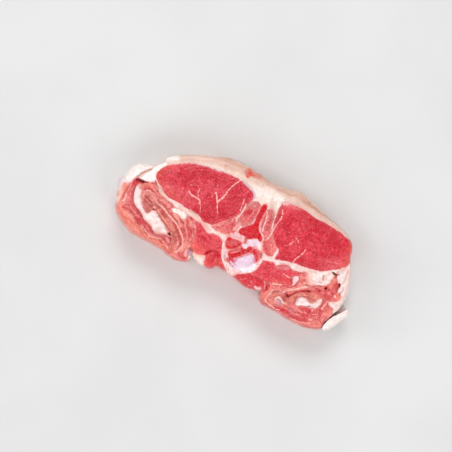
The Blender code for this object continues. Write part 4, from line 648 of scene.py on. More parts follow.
    ("dark", 0.34, 0.34, -0.20, "flap_left_inner", ((-42.0, -15.1), (-40.4, -16.8), (-38.8, -18.4))),
    ("vein", 0.28, 0.45, 0.08, "flap_left_upper", ((-61.6, -1.6), (-58.0, -3.0), (-54.4, -4.4), (-51.0, -6.4), (-47.0, -8.4), (-43.4, -10.6), (-40.2, -12.8))),
    ("pale", 0.8, 0.50, 0.0, "flap_left_upper", ((-47.0, -7.6), (-44.6, -8.6), (-42.2, -10.6), (-40.6, -12.0))),
    ("pale", 0.7, 0.40, 0.0, "flap_left_upper", ((-58.0, -2.6), (-54.8, -3.6), (-51.6, -4.6))),
    ("deep", 0.34, 0.42, -0.20, "flap_left_upper", ((-62.0, -3.2), (-57.6, -4.6), (-53.6, -6.2), (-49.6, -8.2), (-46.0, -9.8), (-42.6, -11.6))),
    # Slits and creases in the upper sheet: painted shade in the dark and deep marks, with a drop of height.
    ("dark", 0.30, 0.62, -0.45, "", ((-54.4, -1.9), (-53.4, -2.3), (-52.7, -2.5))),
    ("deep", 0.50, 0.60, -0.15, "", ((-56.4, -1.0), (-55.2, -1.6))),
    ("blood", 0.7, 0.45, -0.05, "", ((-51.4, -2.4), (-50.6, -4.2))),
    ("dark", 0.32, 0.55, -0.45, "", ((-43.4, -8.0), (-42.0, -8.7))),
    ("deep", 0.36, 0.85, -0.30, "", ((-41.6, -8.9), (-40.6, -9.4), (-39.8, -9.9))),
    ("warm", 0.9, 0.60, 0.0, "flap_left_upper", ((-41.0, -7.6), (-39.6, -8.8), (-38.6, -10.4))),
    ("blood", -0.45, 0.90, -0.20, "", ((-38.0, -4.3), (-36.6, -4.7), (-35.5, -5.4), (-35.9, -6.0), (-37.2, -5.6))),
    ("grey", 0.6, 0.70, 0.0, "", ((-40.2, -4.2), (-39.4, -4.7))),
    ("pale", 0.9, 0.55, 0.0, "flap_left_upper", ((-36.0, -8.0), (-34.0, -8.6), (-32.0, -7.4))),
    ("blood", -0.90, 0.55, 0.0, "flap_left_upper", ((-37.4, -9.6), (-34.6, -10.6), (-32.2, -11.8), (-32.4, -14.2), (-34.0, -14.8), (-35.2, -12.8))),
    ("vein", 0.30, 0.55, 0.08, "flap_left_upper", ((-39.0, -10.4), (-37.2, -12.2), (-35.6, -14.4), (-34.4, -16.6), (-33.4, -19.4))),
    ("vein", 0.28, 0.48, 0.08, "flap_left_upper", ((-33.4, -8.8), (-31.8, -10.6), (-31.2, -13.6), (-31.8, -17.4))),
    ("deep", 0.34, 0.40, -0.25, "flap_left_upper", ((-31.2, -11.6), (-30.8, -15.6), (-30.8, -19.4))),
    ("warm", 1.1, 0.40, 0.0, "flap_left_upper", ((-32.4, -17.4), (-31.8, -20.4), (-33.2, -23.6))),
    ("pale", 0.7, 0.40, 0.0, "flap_left_upper", ((-33.6, -20.0), (-33.4, -23.0), (-34.2, -25.6))),
    ("deep", -0.80, 0.32, 0.0, "flap_left_upper", ((-30.6, -22.2), (-28.4, -22.4), (-27.2, -24.4), (-28.0, -26.6), (-30.2, -25.6))),
    # The crease beside this zone: painted shade, with a drop of height.
    ("deep", 0.34, 0.85, -0.35, "flap_left_upper", ((-30.9, -22.3), (-29.6, -21.7), (-28.2, -22.1), (-27.4, -23.4))),
    ("dark", 0.28, 0.42, -0.25, "flap_left_upper", ((-27.6, -23.2), (-27.1, -24.8))),
    ("blood", -1.40, 0.55, 0.0, "flap_left_upper", ((-34.6, -27.6), (-32.0, -27.8), (-29.8, -27.8), (-29.6, -29.4), (-31.6, -30.2), (-34.2, -29.4))),
    ("vein", 0.34, 0.55, 0.08, "flap_left_upper", ((-31.2, -25.0), (-30.8, -27.4))),
    ("vein", 0.40, 0.75, 0.10, "flap_left_upper", ((-27.8, -26.8), (-27.4, -28.4), (-27.9, -29.6))),
    ("vein", 0.32, 0.55, 0.08, "flap_left", ((-37.6, -28.0), (-36.4, -28.4), (-35.4, -27.6))),
    ("pale", 0.45, 0.60, 0.08, "flap_left", ((-38.2, -29.8),)),
    # Creases on the inner sheet: painted shade, with a drop of height.
    ("deep", 0.42, 0.70, -0.30, "flap_left_inner", ((-55.6, -11.9), (-53.8, -13.3), (-51.2, -14.4), (-49.0, -15.6), (-46.8, -16.7), (-44.6, -17.9))),
    ("dark", 0.28, 0.32, -0.20, "flap_left_inner", ((-55.0, -12.3), (-53.6, -13.5))),
    ("deep", 0.32, 0.45, -0.20, "flap_left_inner", ((-58.6, -7.0), (-54.6, -8.5), (-50.4, -10.6), (-46.2, -12.8), (-43.6, -14.8))),
    ("warm", 0.8, 0.55, 0.0, "flap_left_inner", ((-52.6, -12.8), (-49.0, -14.0), (-45.6, -15.0), (-43.0, -16.4))),
    ("vein", 0.28, 0.42, 0.08, "flap_left_inner", ((-57.6, -9.6), (-52.6, -12.0), (-48.0, -14.2), (-43.8, -16.2), (-41.0, -18.6))),
    ("blood", 0.7, 0.40, 0.0, "flap_left_inner", ((-55.2, -9.2), (-53.4, -10.0))),
    # A hole: painted dark as the shade in it, with a drop of height.
    ("dark", -0.32, 1.00, -1.30, "", ((-45.1, -18.4), (-45.9, -20.0), (-43.7, -20.0), (-44.2, -19.1))),
    ("vein", 0.30, 0.60, 0.08, "flap_left", ((-46.4, -20.5), (-44.4, -20.7), (-42.6, -20.6))),
    ("blood", 0.34, 0.75, -0.10, "flap_left", ((-39.6, -20.9), (-38.9, -21.2))),
    ("blood", 0.30, 0.50, -0.10, "flap_left", ((-41.4, -20.0),)),
    ("pale", 0.55, 0.55, 0.05, "flap_left_inner", ((-37.8, -21.6), (-37.6, -23.4))),
    ("deep", 1.0, 0.35, 0.0, "flap_left_inner", ((-42.6, -18.2), (-40.4, -19.8), (-39.8, -22.6))),
    ("warm", 1.0, 0.40, 0.0, "flap_left_inner", ((-38.6, -24.4), (-38.0, -26.4))),
    ("vein", 0.26, 0.40, 0.08, "flap_left_inner", ((-40.6, -21.8), (-39.6, -24.0), (-39.4, -26.4))),
    # Right flank
    ("vein", 0.45, 0.82, 0.16, "flap_right", ((32.8, -20.9), (34.2, -19.6), (36.0, -18.0), (38.0, -16.5), (40.0, -15.0), (41.6, -13.6), (43.2, -12.4), (44.8, -11.6))),
    ("vein", 0.30, 0.48, 0.08, "flap_right", ((33.8, -18.2), (36.0, -16.8), (38.2, -15.0), (40.2, -13.4))),
    ("blood", -0.35, 0.72, -0.30, "flap_right", ((34.2, -20.9), (36.2, -21.0), (37.8, -19.8), (39.4, -17.9), (41.0, -16.2), (43.4, -14.2), (46.4, -13.1), (48.2, -12.9), (47.6, -14.1), (44.4, -15.2), (41.6, -17.0), (40.0, -18.6), (38.2, -20.9), (36.6, -22.6), (35.6, -21.9))),
    # The slit between the sheets, and the crease along it: painted shade, with a drop of height.
    ("dark", 0.60, 0.72, -0.60, "", ((36.0, -21.6), (37.0, -22.0))),
    ("deep", 0.45, 0.60, -0.30, "flap_right", ((34.2, -21.2), (35.4, -21.3))),
    ("deep", 0.50, 0.75, -0.30, "flap_right", ((36.4, -22.0), (37.8, -20.8), (39.4, -18.8), (40.4, -17.5))),
    # A crease: painted shade, with a drop of height.
    ("dark", 0.48, 0.70, -0.55, "", ((46.4, -13.8), (47.6, -13.4))),
    ("deep", 0.50, 0.55, -0.20, "flap_right_inner", ((41.4, -16.0), (44.0, -14.9), (46.0, -14.2))),
    ("warm", 1.2, 0.38, 0.0, "flap_right_inner", ((38.0, -21.6), (40.2, -20.4), (45.0, -17.0), (50.0, -15.4), (54.0, -14.6))),
    ("warm", 1.8, 0.28, 0.0, "flap_right_inner", ((39.2, -22.4), (40.4, -24.6))),
    ("vein", 0.28, 0.45, 0.06, "flap_right_inner", ((42.0, -18.4), (46.4, -16.6), (51.0, -16.2), (55.6, -14.6))),
    ("deep", 0.34, 0.42, -0.20, "flap_right_inner", ((43.4, -18.0), (48.0, -17.4), (52.6, -17.0), (56.0, -15.8))),
    ("deep", 0.38, 0.62, -0.25, "flap_right_inner", ((41.9, -19.2), (41.7, -21.6), (42.0, -24.6))),
    ("warm", 0.9, 0.35, 0.0, "flap_right_inner", ((31.6, -21.4), (33.4, -22.4))),
    ("grey", 0.8, 0.25, 0.0, "flap_right_inner", ((31.2, -22.4), (32.8, -21.6))),
    ("warm", 0.8, 0.60, 0.0, "flap_right", ((27.6, -25.0), (29.2, -25.0))),
    ("deep", 0.36, 0.70, -0.30, "flap_right_inner", ((32.8, -24.1), (34.6, -24.7), (36.2, -25.7))),
    ("pale", 0.50, 0.90, 0.10, "flap_right", ((30.6, -26.6), (31.2, -25.3), (32.2, -24.9), (33.6, -25.4), (35.0, -26.3), (37.2, -26.7))),
    ("pale", 0.40, 0.60, 0.06, "flap_right", ((30.5, -26.4), (30.3, -28.0), (31.0, -29.0))),
    ("pale", 0.55, 0.62, 0.12, "fat_nodule_right", ((30.6, -26.6), (31.3, -25.5), (32.2, -25.0), (33.4, -25.4), (34.6, -26.2), (36.2, -26.8))),
    ("pale", 0.50, 0.35, 0.05, "fat_nodule_right", ((30.6, -26.8), (31.0, -28.4))),
    ("deep", 0.45, 0.60, -0.15, "fat_nodule_right", ((32.8, -26.4), (33.7, -26.8))),
    ("grey", 0.60, 0.55, -0.05, "fat_nodule_right", ((31.8, -27.3), (33.2, -27.6))),
    ("deep", 0.34, 0.60, -0.25, "flap_right", ((32.4, -26.6), (33.2, -26.4))),
    ("warm", 1.0, 0.45, 0.0, "flap_right", ((28.4, -27.4), (29.2, -29.6))),
    ("vein", 0.45, 0.72, 0.14, "flap_right", ((26.4, -22.8), (26.0, -25.2), (25.0, -27.6), (25.0, -29.4), (26.4, -30.7), (28.6, -31.4), (30.4, -31.4))),
    ("vein", 0.36, 0.70, 0.10, "flap_right", ((31.0, -31.8), (33.0, -32.3), (35.6, -31.4))),
    ("vein", 0.45, 0.72, 0.14, "flap_right", ((24.6, -19.2), (26.6, -18.4), (28.6, -17.8), (30.2, -17.4))),
    # Beside the raised pale streak: painted shade, with a drop of height.
    ("deep", 0.36, 0.55, -0.25, "flap_right", ((25.6, -18.0), (28.0, -17.2), (30.0, -16.9))),
    ("blood", 0.60, 0.80, -0.15, "flap_right", ((30.8, -17.4), (32.6, -17.2), (35.0, -16.4), (36.8, -15.4), (38.2, -13.8))),
    ("warm", 0.9, 0.50, 0.0, "flap_right", ((31.6, -18.6), (32.4, -19.6))),
    ("deep", 0.40, 0.45, -0.10, "flap_right_upper", ((38.0, -8.4), (38.1, -11.4), (37.6, -14.2))),
    ("grey", 0.9, 0.35, 0.0, "flap_right_upper", ((38.6, -3.6), (40.4, -3.4))),
    ("blood", -0.90, 0.40, 0.0, "flap_right_upper", ((38.8, -4.4), (40.4, -3.8), (41.4, -5.2), (40.6, -7.0), (39.2, -6.8))),
    ("warm", 1.4, 0.30, 0.0, "flap_right_upper", ((40.4, -8.0), (42.6, -7.6), (44.0, -8.8))),
    ("blood", 1.0, 0.35, 0.0, "flap_right", ((39.5, -25.6), (42.5, -25.8))),
    ("deep", 0.8, 0.30, 0.0, "fat_seam_right", ((52.2, -1.6), (52.6, -3.0))),
    ("grey", 0.9, 0.60, 0.0, "fat_chunk_right", ((43.0, -19.8), (43.0, -21.8))),
    ("blood", 1.1, 0.50, 0.0, "", ((20.9, -25.6), (22.4, -23.6))),
    ("pale", 1.5, 1.00, 0.0, "flap_right_upper", ((41.0, -2.8), (42.4, -4.6), (43.8, -6.8), (45.4, -8.6))),
    ("warm", 1.3, 0.40, 0.0, "fat_seam_right", ((41.6, -3.0), (43.0, -5.0), (44.8, -7.4), (46.4, -8.6))),
    ("vein", 0.34, 0.55, 0.06, "flap_right_upper", ((38.4, -3.4), (40.8, -2.8), (42.2, -3.6))),
    ("vein", 0.30, 0.50, 0.08, "flap_right_upper", ((38.6, -9.8), (42.0, -10.2), (46.4, -9.4), (50.6, -9.4), (54.4, -8.8))),
    ("vein", 0.28, 0.45, 0.08, "flap_right_upper", ((40.6, -12.6), (45.0, -11.4), (49.6, -11.4), (53.6, -11.8))),
    ("vein", 0.28, 0.40, 0.08, "flap_right_upper", ((38.2, -6.0), (38.9, -8.6), (39.4, -11.6), (39.0, -13.6))),
    ("deep", 0.42, 0.55, -0.20, "flap_right_upper", ((43.4, -10.6), (46.8, -9.8), (50.2, -8.4), (53.8, -6.7))),
    ("deep", 0.34, 0.42, -0.20, "flap_right_upper", ((41.0, -11.8), (44.6, -10.9), (49.0, -10.4), (51.6, -10.6))),
    ("blood", 0.9, 0.30, 0.0, "flap_right_upper", ((45.0, -12.6), (49.6, -12.2), (54.0, -12.8))),
    ("blood", 0.60, 0.60, -0.10, "flap_right_upper", ((34.0, -6.0), (36.2, -6.3))),
    # The end of a slit: painted shade, with a drop of height.
    ("dark", 0.36, 0.60, -0.45, "", ((36.2, -6.2), (36.8, -6.2))),
    ("blood", 1.1, 0.55, 0.0, "flap_right_upper", ((52.2, -10.2), (52.4, -10.9))),
    # A hole: painted dark as the shade in it, with a drop of height.
    ("dark", 0.70, 1.00, -1.50, "", ((55.2, -7.3), (55.3, -7.8))),
    ("blood", 1.2, 0.50, -0.10, "flap_right", ((55.9, -7.2), (55.8, -8.8))),
    # A pit: painted shade, with a drop of height.
    ("dark", 0.55, 0.80, -0.70, "", ((52.1, -10.4), (52.4, -10.8))),
    # The slit by the fat seam, and the creases beside it: painted shade, with a drop of height.
    ("dark", 0.78, 1.00, -1.20, "", ((55.2, 2.95), (56.2, 2.8))),
    ("deep", 0.55, 0.95, -0.60, "", ((56.8, 2.7), (57.8, 3.0), (58.7, 3.7))),
    ("dark", 0.34, 0.50, -0.40, "", ((56.6, 2.7), (57.6, 2.9))),
    ("deep", 0.48, 0.85, -0.40, "", ((57.4, 2.5), (57.6, 1.8), (57.5, 0.9))),
    # Another slit, and the crease under it: painted shade, with a drop of height.
    ("dark", 0.62, 1.00, -1.00, "", ((61.6, -1.6), (62.2, -2.7))),
    ("deep", 0.50, 0.85, -0.30, "", ((62.1, -3.2), (61.9, -5.0), (62.2, -6.4))),
    ("warm", 0.70, 0.90, -0.10, "", ((57.5, 0.2), (57.9, -0.9), (58.8, -1.9))),
    ("deep", 0.60, 0.95, -0.25, "fat_seam_right", ((50.7, -1.3), (51.3, -2.6), (51.6, -3.5))),
    ("warm", 0.50, 0.55, -0.10, "fat_seam_right", ((51.6, -0.8), (52.8, 0.4), (54.0, 1.6))),
    ("grey", 0.8, 0.40, 0.0, "fat_seam_right", ((49.8, -5.6), (50.8, -5.8))),
    ("deep", 0.40, 0.40, -0.10, "fat_seam_right", ((53.2, -5.4), (54.0, -5.6))),
    ("grey", 1.1, 0.55, 0.0, "fat_edge_right", ((58.2, 6.4), (59.0, 5.8))),
    ("warm", 0.6, 0.70, 0.0, "", ((59.8, 8.3), (60.6, 7.4))),
    ("deep", 0.34, 0.50, -0.15, "", ((57.2, 4.3), (57.9, 5.1))),
    # The crease along the fat chunk's lower rim: painted shade, with a drop of height.
    ("dark", 0.50, 0.80, -0.50, "", ((49.9, -22.0), (51.2, -21.4))),
    ("deep", 0.50, 0.60, -0.15, "fat_chunk_right", ((51.2, -19.4), (52.2, -18.4), (53.6, -17.0))),
    ("grey", 0.6, 0.60, -0.05, "", ((52.2, -20.9), (52.8, -20.6))),
    ("deep", 0.42, 0.80, -0.35, "", ((65.1, -4.0), (64.8, -5.6), (64.4, -6.9))),
    ("grey", 0.5, 0.60, -0.10, "fat_edge_right", ((65.0, -2.6), (65.0, -3.2))),
    ("blood", -1.20, 0.42, 0.0, "flap_right", ((59.4, -1.8), (61.2, -2.0), (61.6, -4.6), (61.9, -7.0), (61.6, -10.2), (59.2, -10.6), (58.6, -7.6), (59.4, -5.4))),
    ("blood", 0.9, 0.70, 0.0, "flap_right", ((59.6, -8.2), (60.8, -8.8), (60.4, -10.2))),
    ("grey", 0.7, 0.45, 0.0, "flap_right", ((60.0, -9.2), (60.6, -10.4))),
    ("warm", -0.80, 0.70, 0.0, "flap_right_upper", ((56.6, -3.0), (58.2, -3.6), (58.0, -6.4), (56.8, -6.6))),
    ("warm", -0.90, 0.65, 0.0, "flap_right_upper", ((62.6, -7.4), (64.8, -7.6), (66.0, -9.4), (63.8, -10.8), (62.8, -9.6))),
    ("vein", 0.62, 1.00, 0.10, "flap_right", ((62.1, -9.4), (62.5, -9.9))),
    ("blood", 0.9, 0.55, 0.0, "flap_right", ((56.6, -11.6), (58.2, -12.4), (58.2, -14.6))),
    ("deep", 0.36, 0.65, -0.30, "flap_right", ((57.0, -14.4), (57.2, -16.8), (57.0, -19.4))),
    ("vein", 0.36, 0.72, 0.10, "flap_right_outer", ((59.6, -14.6), (59.2, -17.0), (58.7, -19.2), (58.6, -20.0))),
    ("pale", 0.50, 0.85, 0.06, "flap_right_outer", ((58.5, -19.1), (58.8, -19.6))),
    ("blood", 0.8, 0.60, 0.0, "flap_right_outer", ((57.8, -20.6), (58.6, -23.0), (59.8, -24.6))),
    ("vein", 0.28, 0.45, 0.06, "flap_right_outer", ((60.6, -20.4), (60.4, -23.4), (59.8, -26.4))),
    ("vein", 0.28, 0.45, 0.06, "flap_right_outer", ((57.2, -22.0), (57.4, -25.0), (56.6, -27.6))),
    ("warm", -1.40, 0.30, 0.0, "flap_right_outer", ((60.4, -17.6), (63.4, -17.2), (65.2, -19.0), (64.2, -22.4), (61.6, -22.6))),
    ("pale", 0.7, 0.45, 0.0, "flap_right_outer", ((64.0, -19.6), (65.0, -20.2))),
    # By the loose tab's border: painted shade, with a drop of height.
    ("deep", 0.42, 0.62, -0.15, "flap_right_outer", ((63.0, -23.6), (62.9, -25.6), (63.2, -27.6), (63.0, -29.4))),
    ("warm", 1.2, 0.65, 0.0, "flap_right_outer", ((58.8, -29.4), (61.0, -28.8))),
    ("deep", 0.7, 0.30, 0.0, "flap_right_outer", ((59.0, -29.6), (60.0, -29.2))),
    ("blood", 0.9, 0.40, 0.0, "flap_right_outer", ((60.4, -26.4), (62.2, -27.6))),
    # The outer sheet, and the notch at its inner end: red, with painted shade where it is deepest
    ("blood", -0.60, 1.00, -0.80, "flap_right_outer", ((21.6, -20.3), (23.4, -20.2), (24.2, -22.0), (23.8, -24.0), (22.6, -24.9), (21.8, -23.2))),
    ("dark", 0.55, 0.46, -0.50, "flap_right_outer", ((22.6, -21.6), (22.8, -23.4))),
    ("warm", 1.2, 0.35, 0.0, "flap_right_outer", ((24.8, -21.6), (24.6, -25.6), (23.2, -28.6))),
    ("deep", 0.9, 0.28, 0.0, "flap_right_outer", ((22.2, -31.2), (25.2, -32.4), (29.6, -32.8))),
    ("blood", 0.9, 0.65, 0.0, "flap_right_outer", ((32.0, -30.8), (37.0, -31.4), (41.2, -31.4))),
    ("blood", 1.3, 0.75, 0.0, "flap_right_outer", ((37.4, -30.8), (40.6, -30.4))),
    ("blood", 0.9, 0.65, 0.0, "flap_right_outer", ((42.8, -32.0), (47.6, -31.4), (52.4, -30.6))),
    ("blood", 0.6, 0.55, -0.05, "flap_right_outer", ((40.4, -27.0), (43.6, -28.2), (48.0, -28.2), (52.0, -27.8))),
    ("grey", 1.1, 0.30, 0.0, "flap_right_outer", ((41.0, -28.6), (43.2, -28.4))),
    ("blood", 1.1, 0.55, 0.0, "flap_right_outer", ((47.0, -24.6), (50.4, -24.2), (53.0, -24.8))),
    ("vein", 0.30, 0.60, 0.08, "flap_right_outer", ((53.2, -22.4), (53.6, -24.4), (53.0, -25.6))),
    ("vein", 0.30, 0.55, 0.10, "flap_right_outer", ((38.6, -27.0), (42.6, -26.4), (47.0, -26.4), (51.6, -26.2), (55.6, -25.0))),
    ("vein", 0.30, 0.50, 0.08, "flap_right_outer", ((33.4, -29.6), (37.4, -28.9), (41.0, -29.6), (46.4, -29.6), (51.6, -29.2), (55.4, -28.4))),
    ("pale", 0.55, 0.75, 0.05, "flap_right_outer", ((54.6, -28.8), (55.6, -28.3))),
    ("pale", 0.50, 0.70, 0.05, "flap_right_outer", ((54.8, -31.0), (55.6, -31.0))),
    ("pale", 0.50, 0.60, 0.05, "flap_right_outer", ((58.5, -30.8), (59.2, -30.6))),
    ("pale", 0.8, 0.60, 0.05, "flap_right_outer", ((45.2, -34.2), (47.0, -34.6))),
    ("vein", 0.30, 0.40, 0.08, "flap_right_outer", ((43.0, -33.0), (48.6, -32.7), (53.6, -31.8), (58.0, -30.4))),
    ("deep", 0.36, 0.45, -0.25, "flap_right_outer", ((36.6, -27.9), (40.0, -28.2), (42.4, -29.2), (45.6, -28.9))),
    ("deep", 0.34, 0.40, -0.25, "flap_right_outer", ((38.0, -32.4), (43.6, -32.6), (49.6, -31.9), (54.6, -30.0))),
    ("warm", 1.0, 0.55, 0.0, "flap_right_outer", ((37.2, -27.0), (39.6, -26.6))),
    ("warm", 0.9, 0.60, 0.0, "flap_right_outer", ((48.0, -33.6), (54.0, -32.4), (59.6, -30.6))),
    # Seams of fat
    ("warm", 0.8, 0.45, 0.0, "fat_seam_left", ((-64.0, 4.2), (-60.0, 0.6), (-56.0, -0.8))),
    ("blood", 1.0, 0.30, 0.0, "fat_seam_left", ((-31.8, -4.6), (-28.0, -5.0), (-24.4, -6.6))),
    ("warm", 0.9, 0.30, 0.0, "fat_seam_left", ((-40.0, -3.2), (-34.0, -3.6))),
    ("blood", 0.9, 0.30, 0.0, "fat_seam_right", ((24.0, -6.0), (28.6, -4.4))),
    ("warm", 0.8, 0.30, 0.0, "fat_seam_right", ((33.0, -4.4), (38.0, -3.0))),
    ("deep", 0.45, 0.30, -0.08, "fat_seam_right", ((44.4, -6.6), (48.0, -6.8), (52.0, -5.0))),
    ("blood", 1.0, 0.35, -0.05, "fat_core_left", ((-51.8, -22.4), (-48.0, -21.2))),
    ("warm", 0.9, 0.30, 0.0, "fat_core_left", ((-66.8, -14.4), (-62.6, -17.6), (-57.4, -19.2))),
    ("warm", 0.8, 0.40, 0.0, "fat_chunk_right", ((52.0, -19.4), (55.6, -16.6))),
    ("warm", 1.4, 0.55, 0.0, "fat_lump_left", ((-26.0, -23.6), (-22.0, -22.0), (-19.2, -22.4))),
    ("grey", 0.9, 0.35, 0.0, "fat_lump_left", ((-23.0, -27.0), (-20.0, -27.6))),
)
MASKS = ("vein", "dark", "blood", "warm", "pale", "deep", "grey")


def closed_curve(points, step):
    """Points along a smooth closed curve through the given ones, which may carry a third value each."""
    count = len(points)
    found = []
    for i in range(count):
        p0, p1, p2, p3 = (np.array(points[(i + k) % count], float) for k in (-1, 0, 1, 2))
        t = [0.0]
        for a, b in ((p0, p1), (p1, p2), (p2, p3)):
            t.append(t[-1] + max(math.hypot(b[0] - a[0], b[1] - a[1]), 1e-6) ** 0.5)
        pieces = max(1, math.ceil(math.hypot(p2[0] - p1[0], p2[1] - p1[1]) / step))
        for j in range(pieces):
            u = t[1] + (t[2] - t[1]) * j / pieces
            a1 = ((t[1] - u) * p0 + (u - t[0]) * p1) / (t[1] - t[0])
            a2 = ((t[2] - u) * p1 + (u - t[1]) * p2) / (t[2] - t[1])
            a3 = ((t[3] - u) * p2 + (u - t[2]) * p3) / (t[3] - t[2])
            b1 = ((t[2] - u) * a1 + (u - t[0]) * a2) / (t[2] - t[0])
            b2 = ((t[3] - u) * a2 + (u - t[1]) * a3) / (t[3] - t[1])
            found.append(((t[2] - u) * b1 + (u - t[1]) * b2) / (t[2] - t[1]))
    found = np.array(found)
    x, y = found[:, 0], found[:, 1]
    turn = np.sum(x * np.roll(y, -1) - np.roll(x, -1) * y)
    return found if turn > 0 else found[::-1].copy()


def smooth_line(points, step=0.6):
    """An open line through the points, drawn smooth."""
    points = [np.array(p, float) for p in points]
    if len(points) < 3:
        return np.array(points)
    points = [2 * points[0] - points[1], *points, 2 * points[-1] - points[-2]]
    found = []
    for p0, p1, p2, p3 in zip(points, points[1:], points[2:], points[3:]):
        pieces = max(1, math.ceil(np.linalg.norm(p2 - p1) / step))
        for j in range(pieces):
            u = j / pieces
            found.append(0.5 * (2 * p1 + (p2 - p0) * u + (2 * p0 - 5 * p1 + 4 * p2 - p3) * u * u + (3 * p1 - p0 - 3 * p2 + p3) * u**3))
    found.append(points[-2])
    return np.array(found)


def lattice_hash(ix, iy, iz, seed):
    h = (ix * 374761393 + iy * 668265263 + iz * 2147483647 + seed * 1274126177) & 0xFFFFFFFF
    h = ((h ^ (h >> 13)) * 1274126177) & 0xFFFFFFFF
    h = ((h ^ (h >> 15)) * 2246822519) & 0xFFFFFFFF
    return ((h ^ (h >> 16)) & 0xFFFFFF) / float(0xFFFFFF) * 2 - 1


def noise(x, y, z=0.0, seed=0):
    """Smooth noise between -1 and 1, one bump to the unit."""
    x, y, z = np.broadcast_arrays(np.asarray(x, float), np.asarray(y, float), np.asarray(z, float))
    ix, iy, iz = (np.floor(v).astype(np.int64) for v in (x, y, z))
    fx, fy, fz = x - ix, y - iy, z - iz
    fx, fy, fz = (f * f * f * (f * (f * 6 - 15) + 10) for f in (fx, fy, fz))
    total = 0.0
    for dx in (0, 1):
        for dy in (0, 1):
            for dz in (0, 1):
                weight = (fx if dx else 1 - fx) * (fy if dy else 1 - fy) * (fz if dz else 1 - fz)
                total = total + weight * lattice_hash(ix + dx, iy + dy, iz + dz, seed)
    return total


def layered(x, y, z=0.0, seed=0, octaves=3, gain=0.5):
    total, size, top = 0.0, 1.0, 0.0
    for k in range(octaves):
        total = total + size * noise(x * 2**k, y * 2**k, z * 2**k, seed + 17 * k)
        top += size
        size *= gain
    return total / top


def steps(x, low, high):
    t = np.clip((x - low) / (high - low), 0, 1)
    return t * t * (3 - 2 * t)


def distance(points, line, closed=False, reach=None):
    """Distance from each point to a line, and how far along the line its nearest point is, as an index with a fraction.
    Points further away than reach only get a number that is larger than it."""
    best, where = np.full(len(points), 1e9), np.zeros(len(points))
    index = np.arange(len(points))
    if reach is not None:
        low, high = line.min(0) - reach, line.max(0) + reach
        index = np.nonzero((points > low).all(1) & (points < high).all(1))[0]
    if not len(index):
        return best, where
    p = points[index]
    tree = KDTree(len(line))
    for i, (x, y) in enumerate(line.tolist()):
        tree.insert((x, y, 0.0), i)
    tree.balance()
    near = np.array([tree.find((x, y, 0.0))[1] for x, y in p.tolist()])
    count = len(line)
    nearest, along = np.full(len(p), 1e18), near.astype(float)
    for start in (near - 1, near):
        if closed:
            a, b = line[start % count], line[(start + 1) % count]
        else:
            a, b = line[np.clip(start, 0, count - 1)], line[np.clip(start + 1, 0, count - 1)]
        ab = b - a
        size = (ab * ab).sum(1)
        t = np.clip(((p - a) * ab).sum(1) / np.maximum(size, 1e-12), 0, 1)
        d = ((p - a - t[:, None] * ab) ** 2).sum(1)
        along = np.where(d < nearest, start + t, along)
        nearest = np.minimum(d, nearest)
    best[index] = np.sqrt(nearest)
    where[index] = along % count if closed else along
    return best, where


def inside(points, outline):
    """Whether each point is inside a closed outline."""
    x, y = points[:, 0], points[:, 1]
    found = np.zeros(len(points), bool)
    for (x0, y0), (x1, y1) in zip(outline, np.roll(outline, -1, axis=0)):
        if y0 == y1:
            continue
        cross = ((y0 > y) != (y1 > y)) & (x < (x1 - x0) * (y - y0) / (y1 - y0) + x0)
        found ^= cross
    return found


def signed(points, outline, reach=6.0):
    """Distance to a closed outline, negative inside it. Outside and further away than reach it is just reach."""
    low, high = outline.min(0) - reach, outline.max(0) + reach
    near = np.nonzero((points > low).all(1) & (points < high).all(1))[0]
    found = np.full(len(points), reach)
    p = points[near]
    d, _ = distance(p, outline, closed=True)
    found[near] = np.where(inside(p, outline), -d, np.minimum(d, reach))
    return found


class Rim:
    """The outer edge of a slice: the line where the upper cut face ends, and the line of the wall's widest level."""

    def __init__(self, edge):
        ring = closed_curve(edge, 0.6)
        xy, breadth = ring[:, :2], ring[:, 2]
        ahead = np.roll(xy, -1, axis=0) - np.roll(xy, 1, axis=0)
        ahead /= np.linalg.norm(ahead, axis=1)[:, None]
        out = np.stack([ahead[:, 1], -ahead[:, 0]], axis=1)
        for _ in range(3):
            out = out + np.roll(out, 1, axis=0) + np.roll(out, -1, axis=0)
            out /= np.linalg.norm(out, axis=1)[:, None]
        centre = np.array(CENTRE)
        self.top = xy - out * breadth[:, None]
        self.wide = centre + (xy - centre) * LEAN_OUT
        self.out = out
        self.length = np.concatenate([[0], np.cumsum(np.linalg.norm(np.diff(np.vstack([self.top, self.top[:1]]), axis=0), axis=1))])

    def at(self, where):
        """Lean, outward way and distance along the rim at an index with a fraction."""
        n = len(self.top)
        i = np.floor(where).astype(int) % n
        j = (i + 1) % n
        f = (where - np.floor(where))[:, None]
        lean = self.wide - self.top
        way = self.out[i] * (1 - f) + self.out[j] * f
        return lean[i] * (1 - f) + lean[j] * f, way, self.length[i] + (self.length[i + 1] - self.length[i]) * f[:, 0]


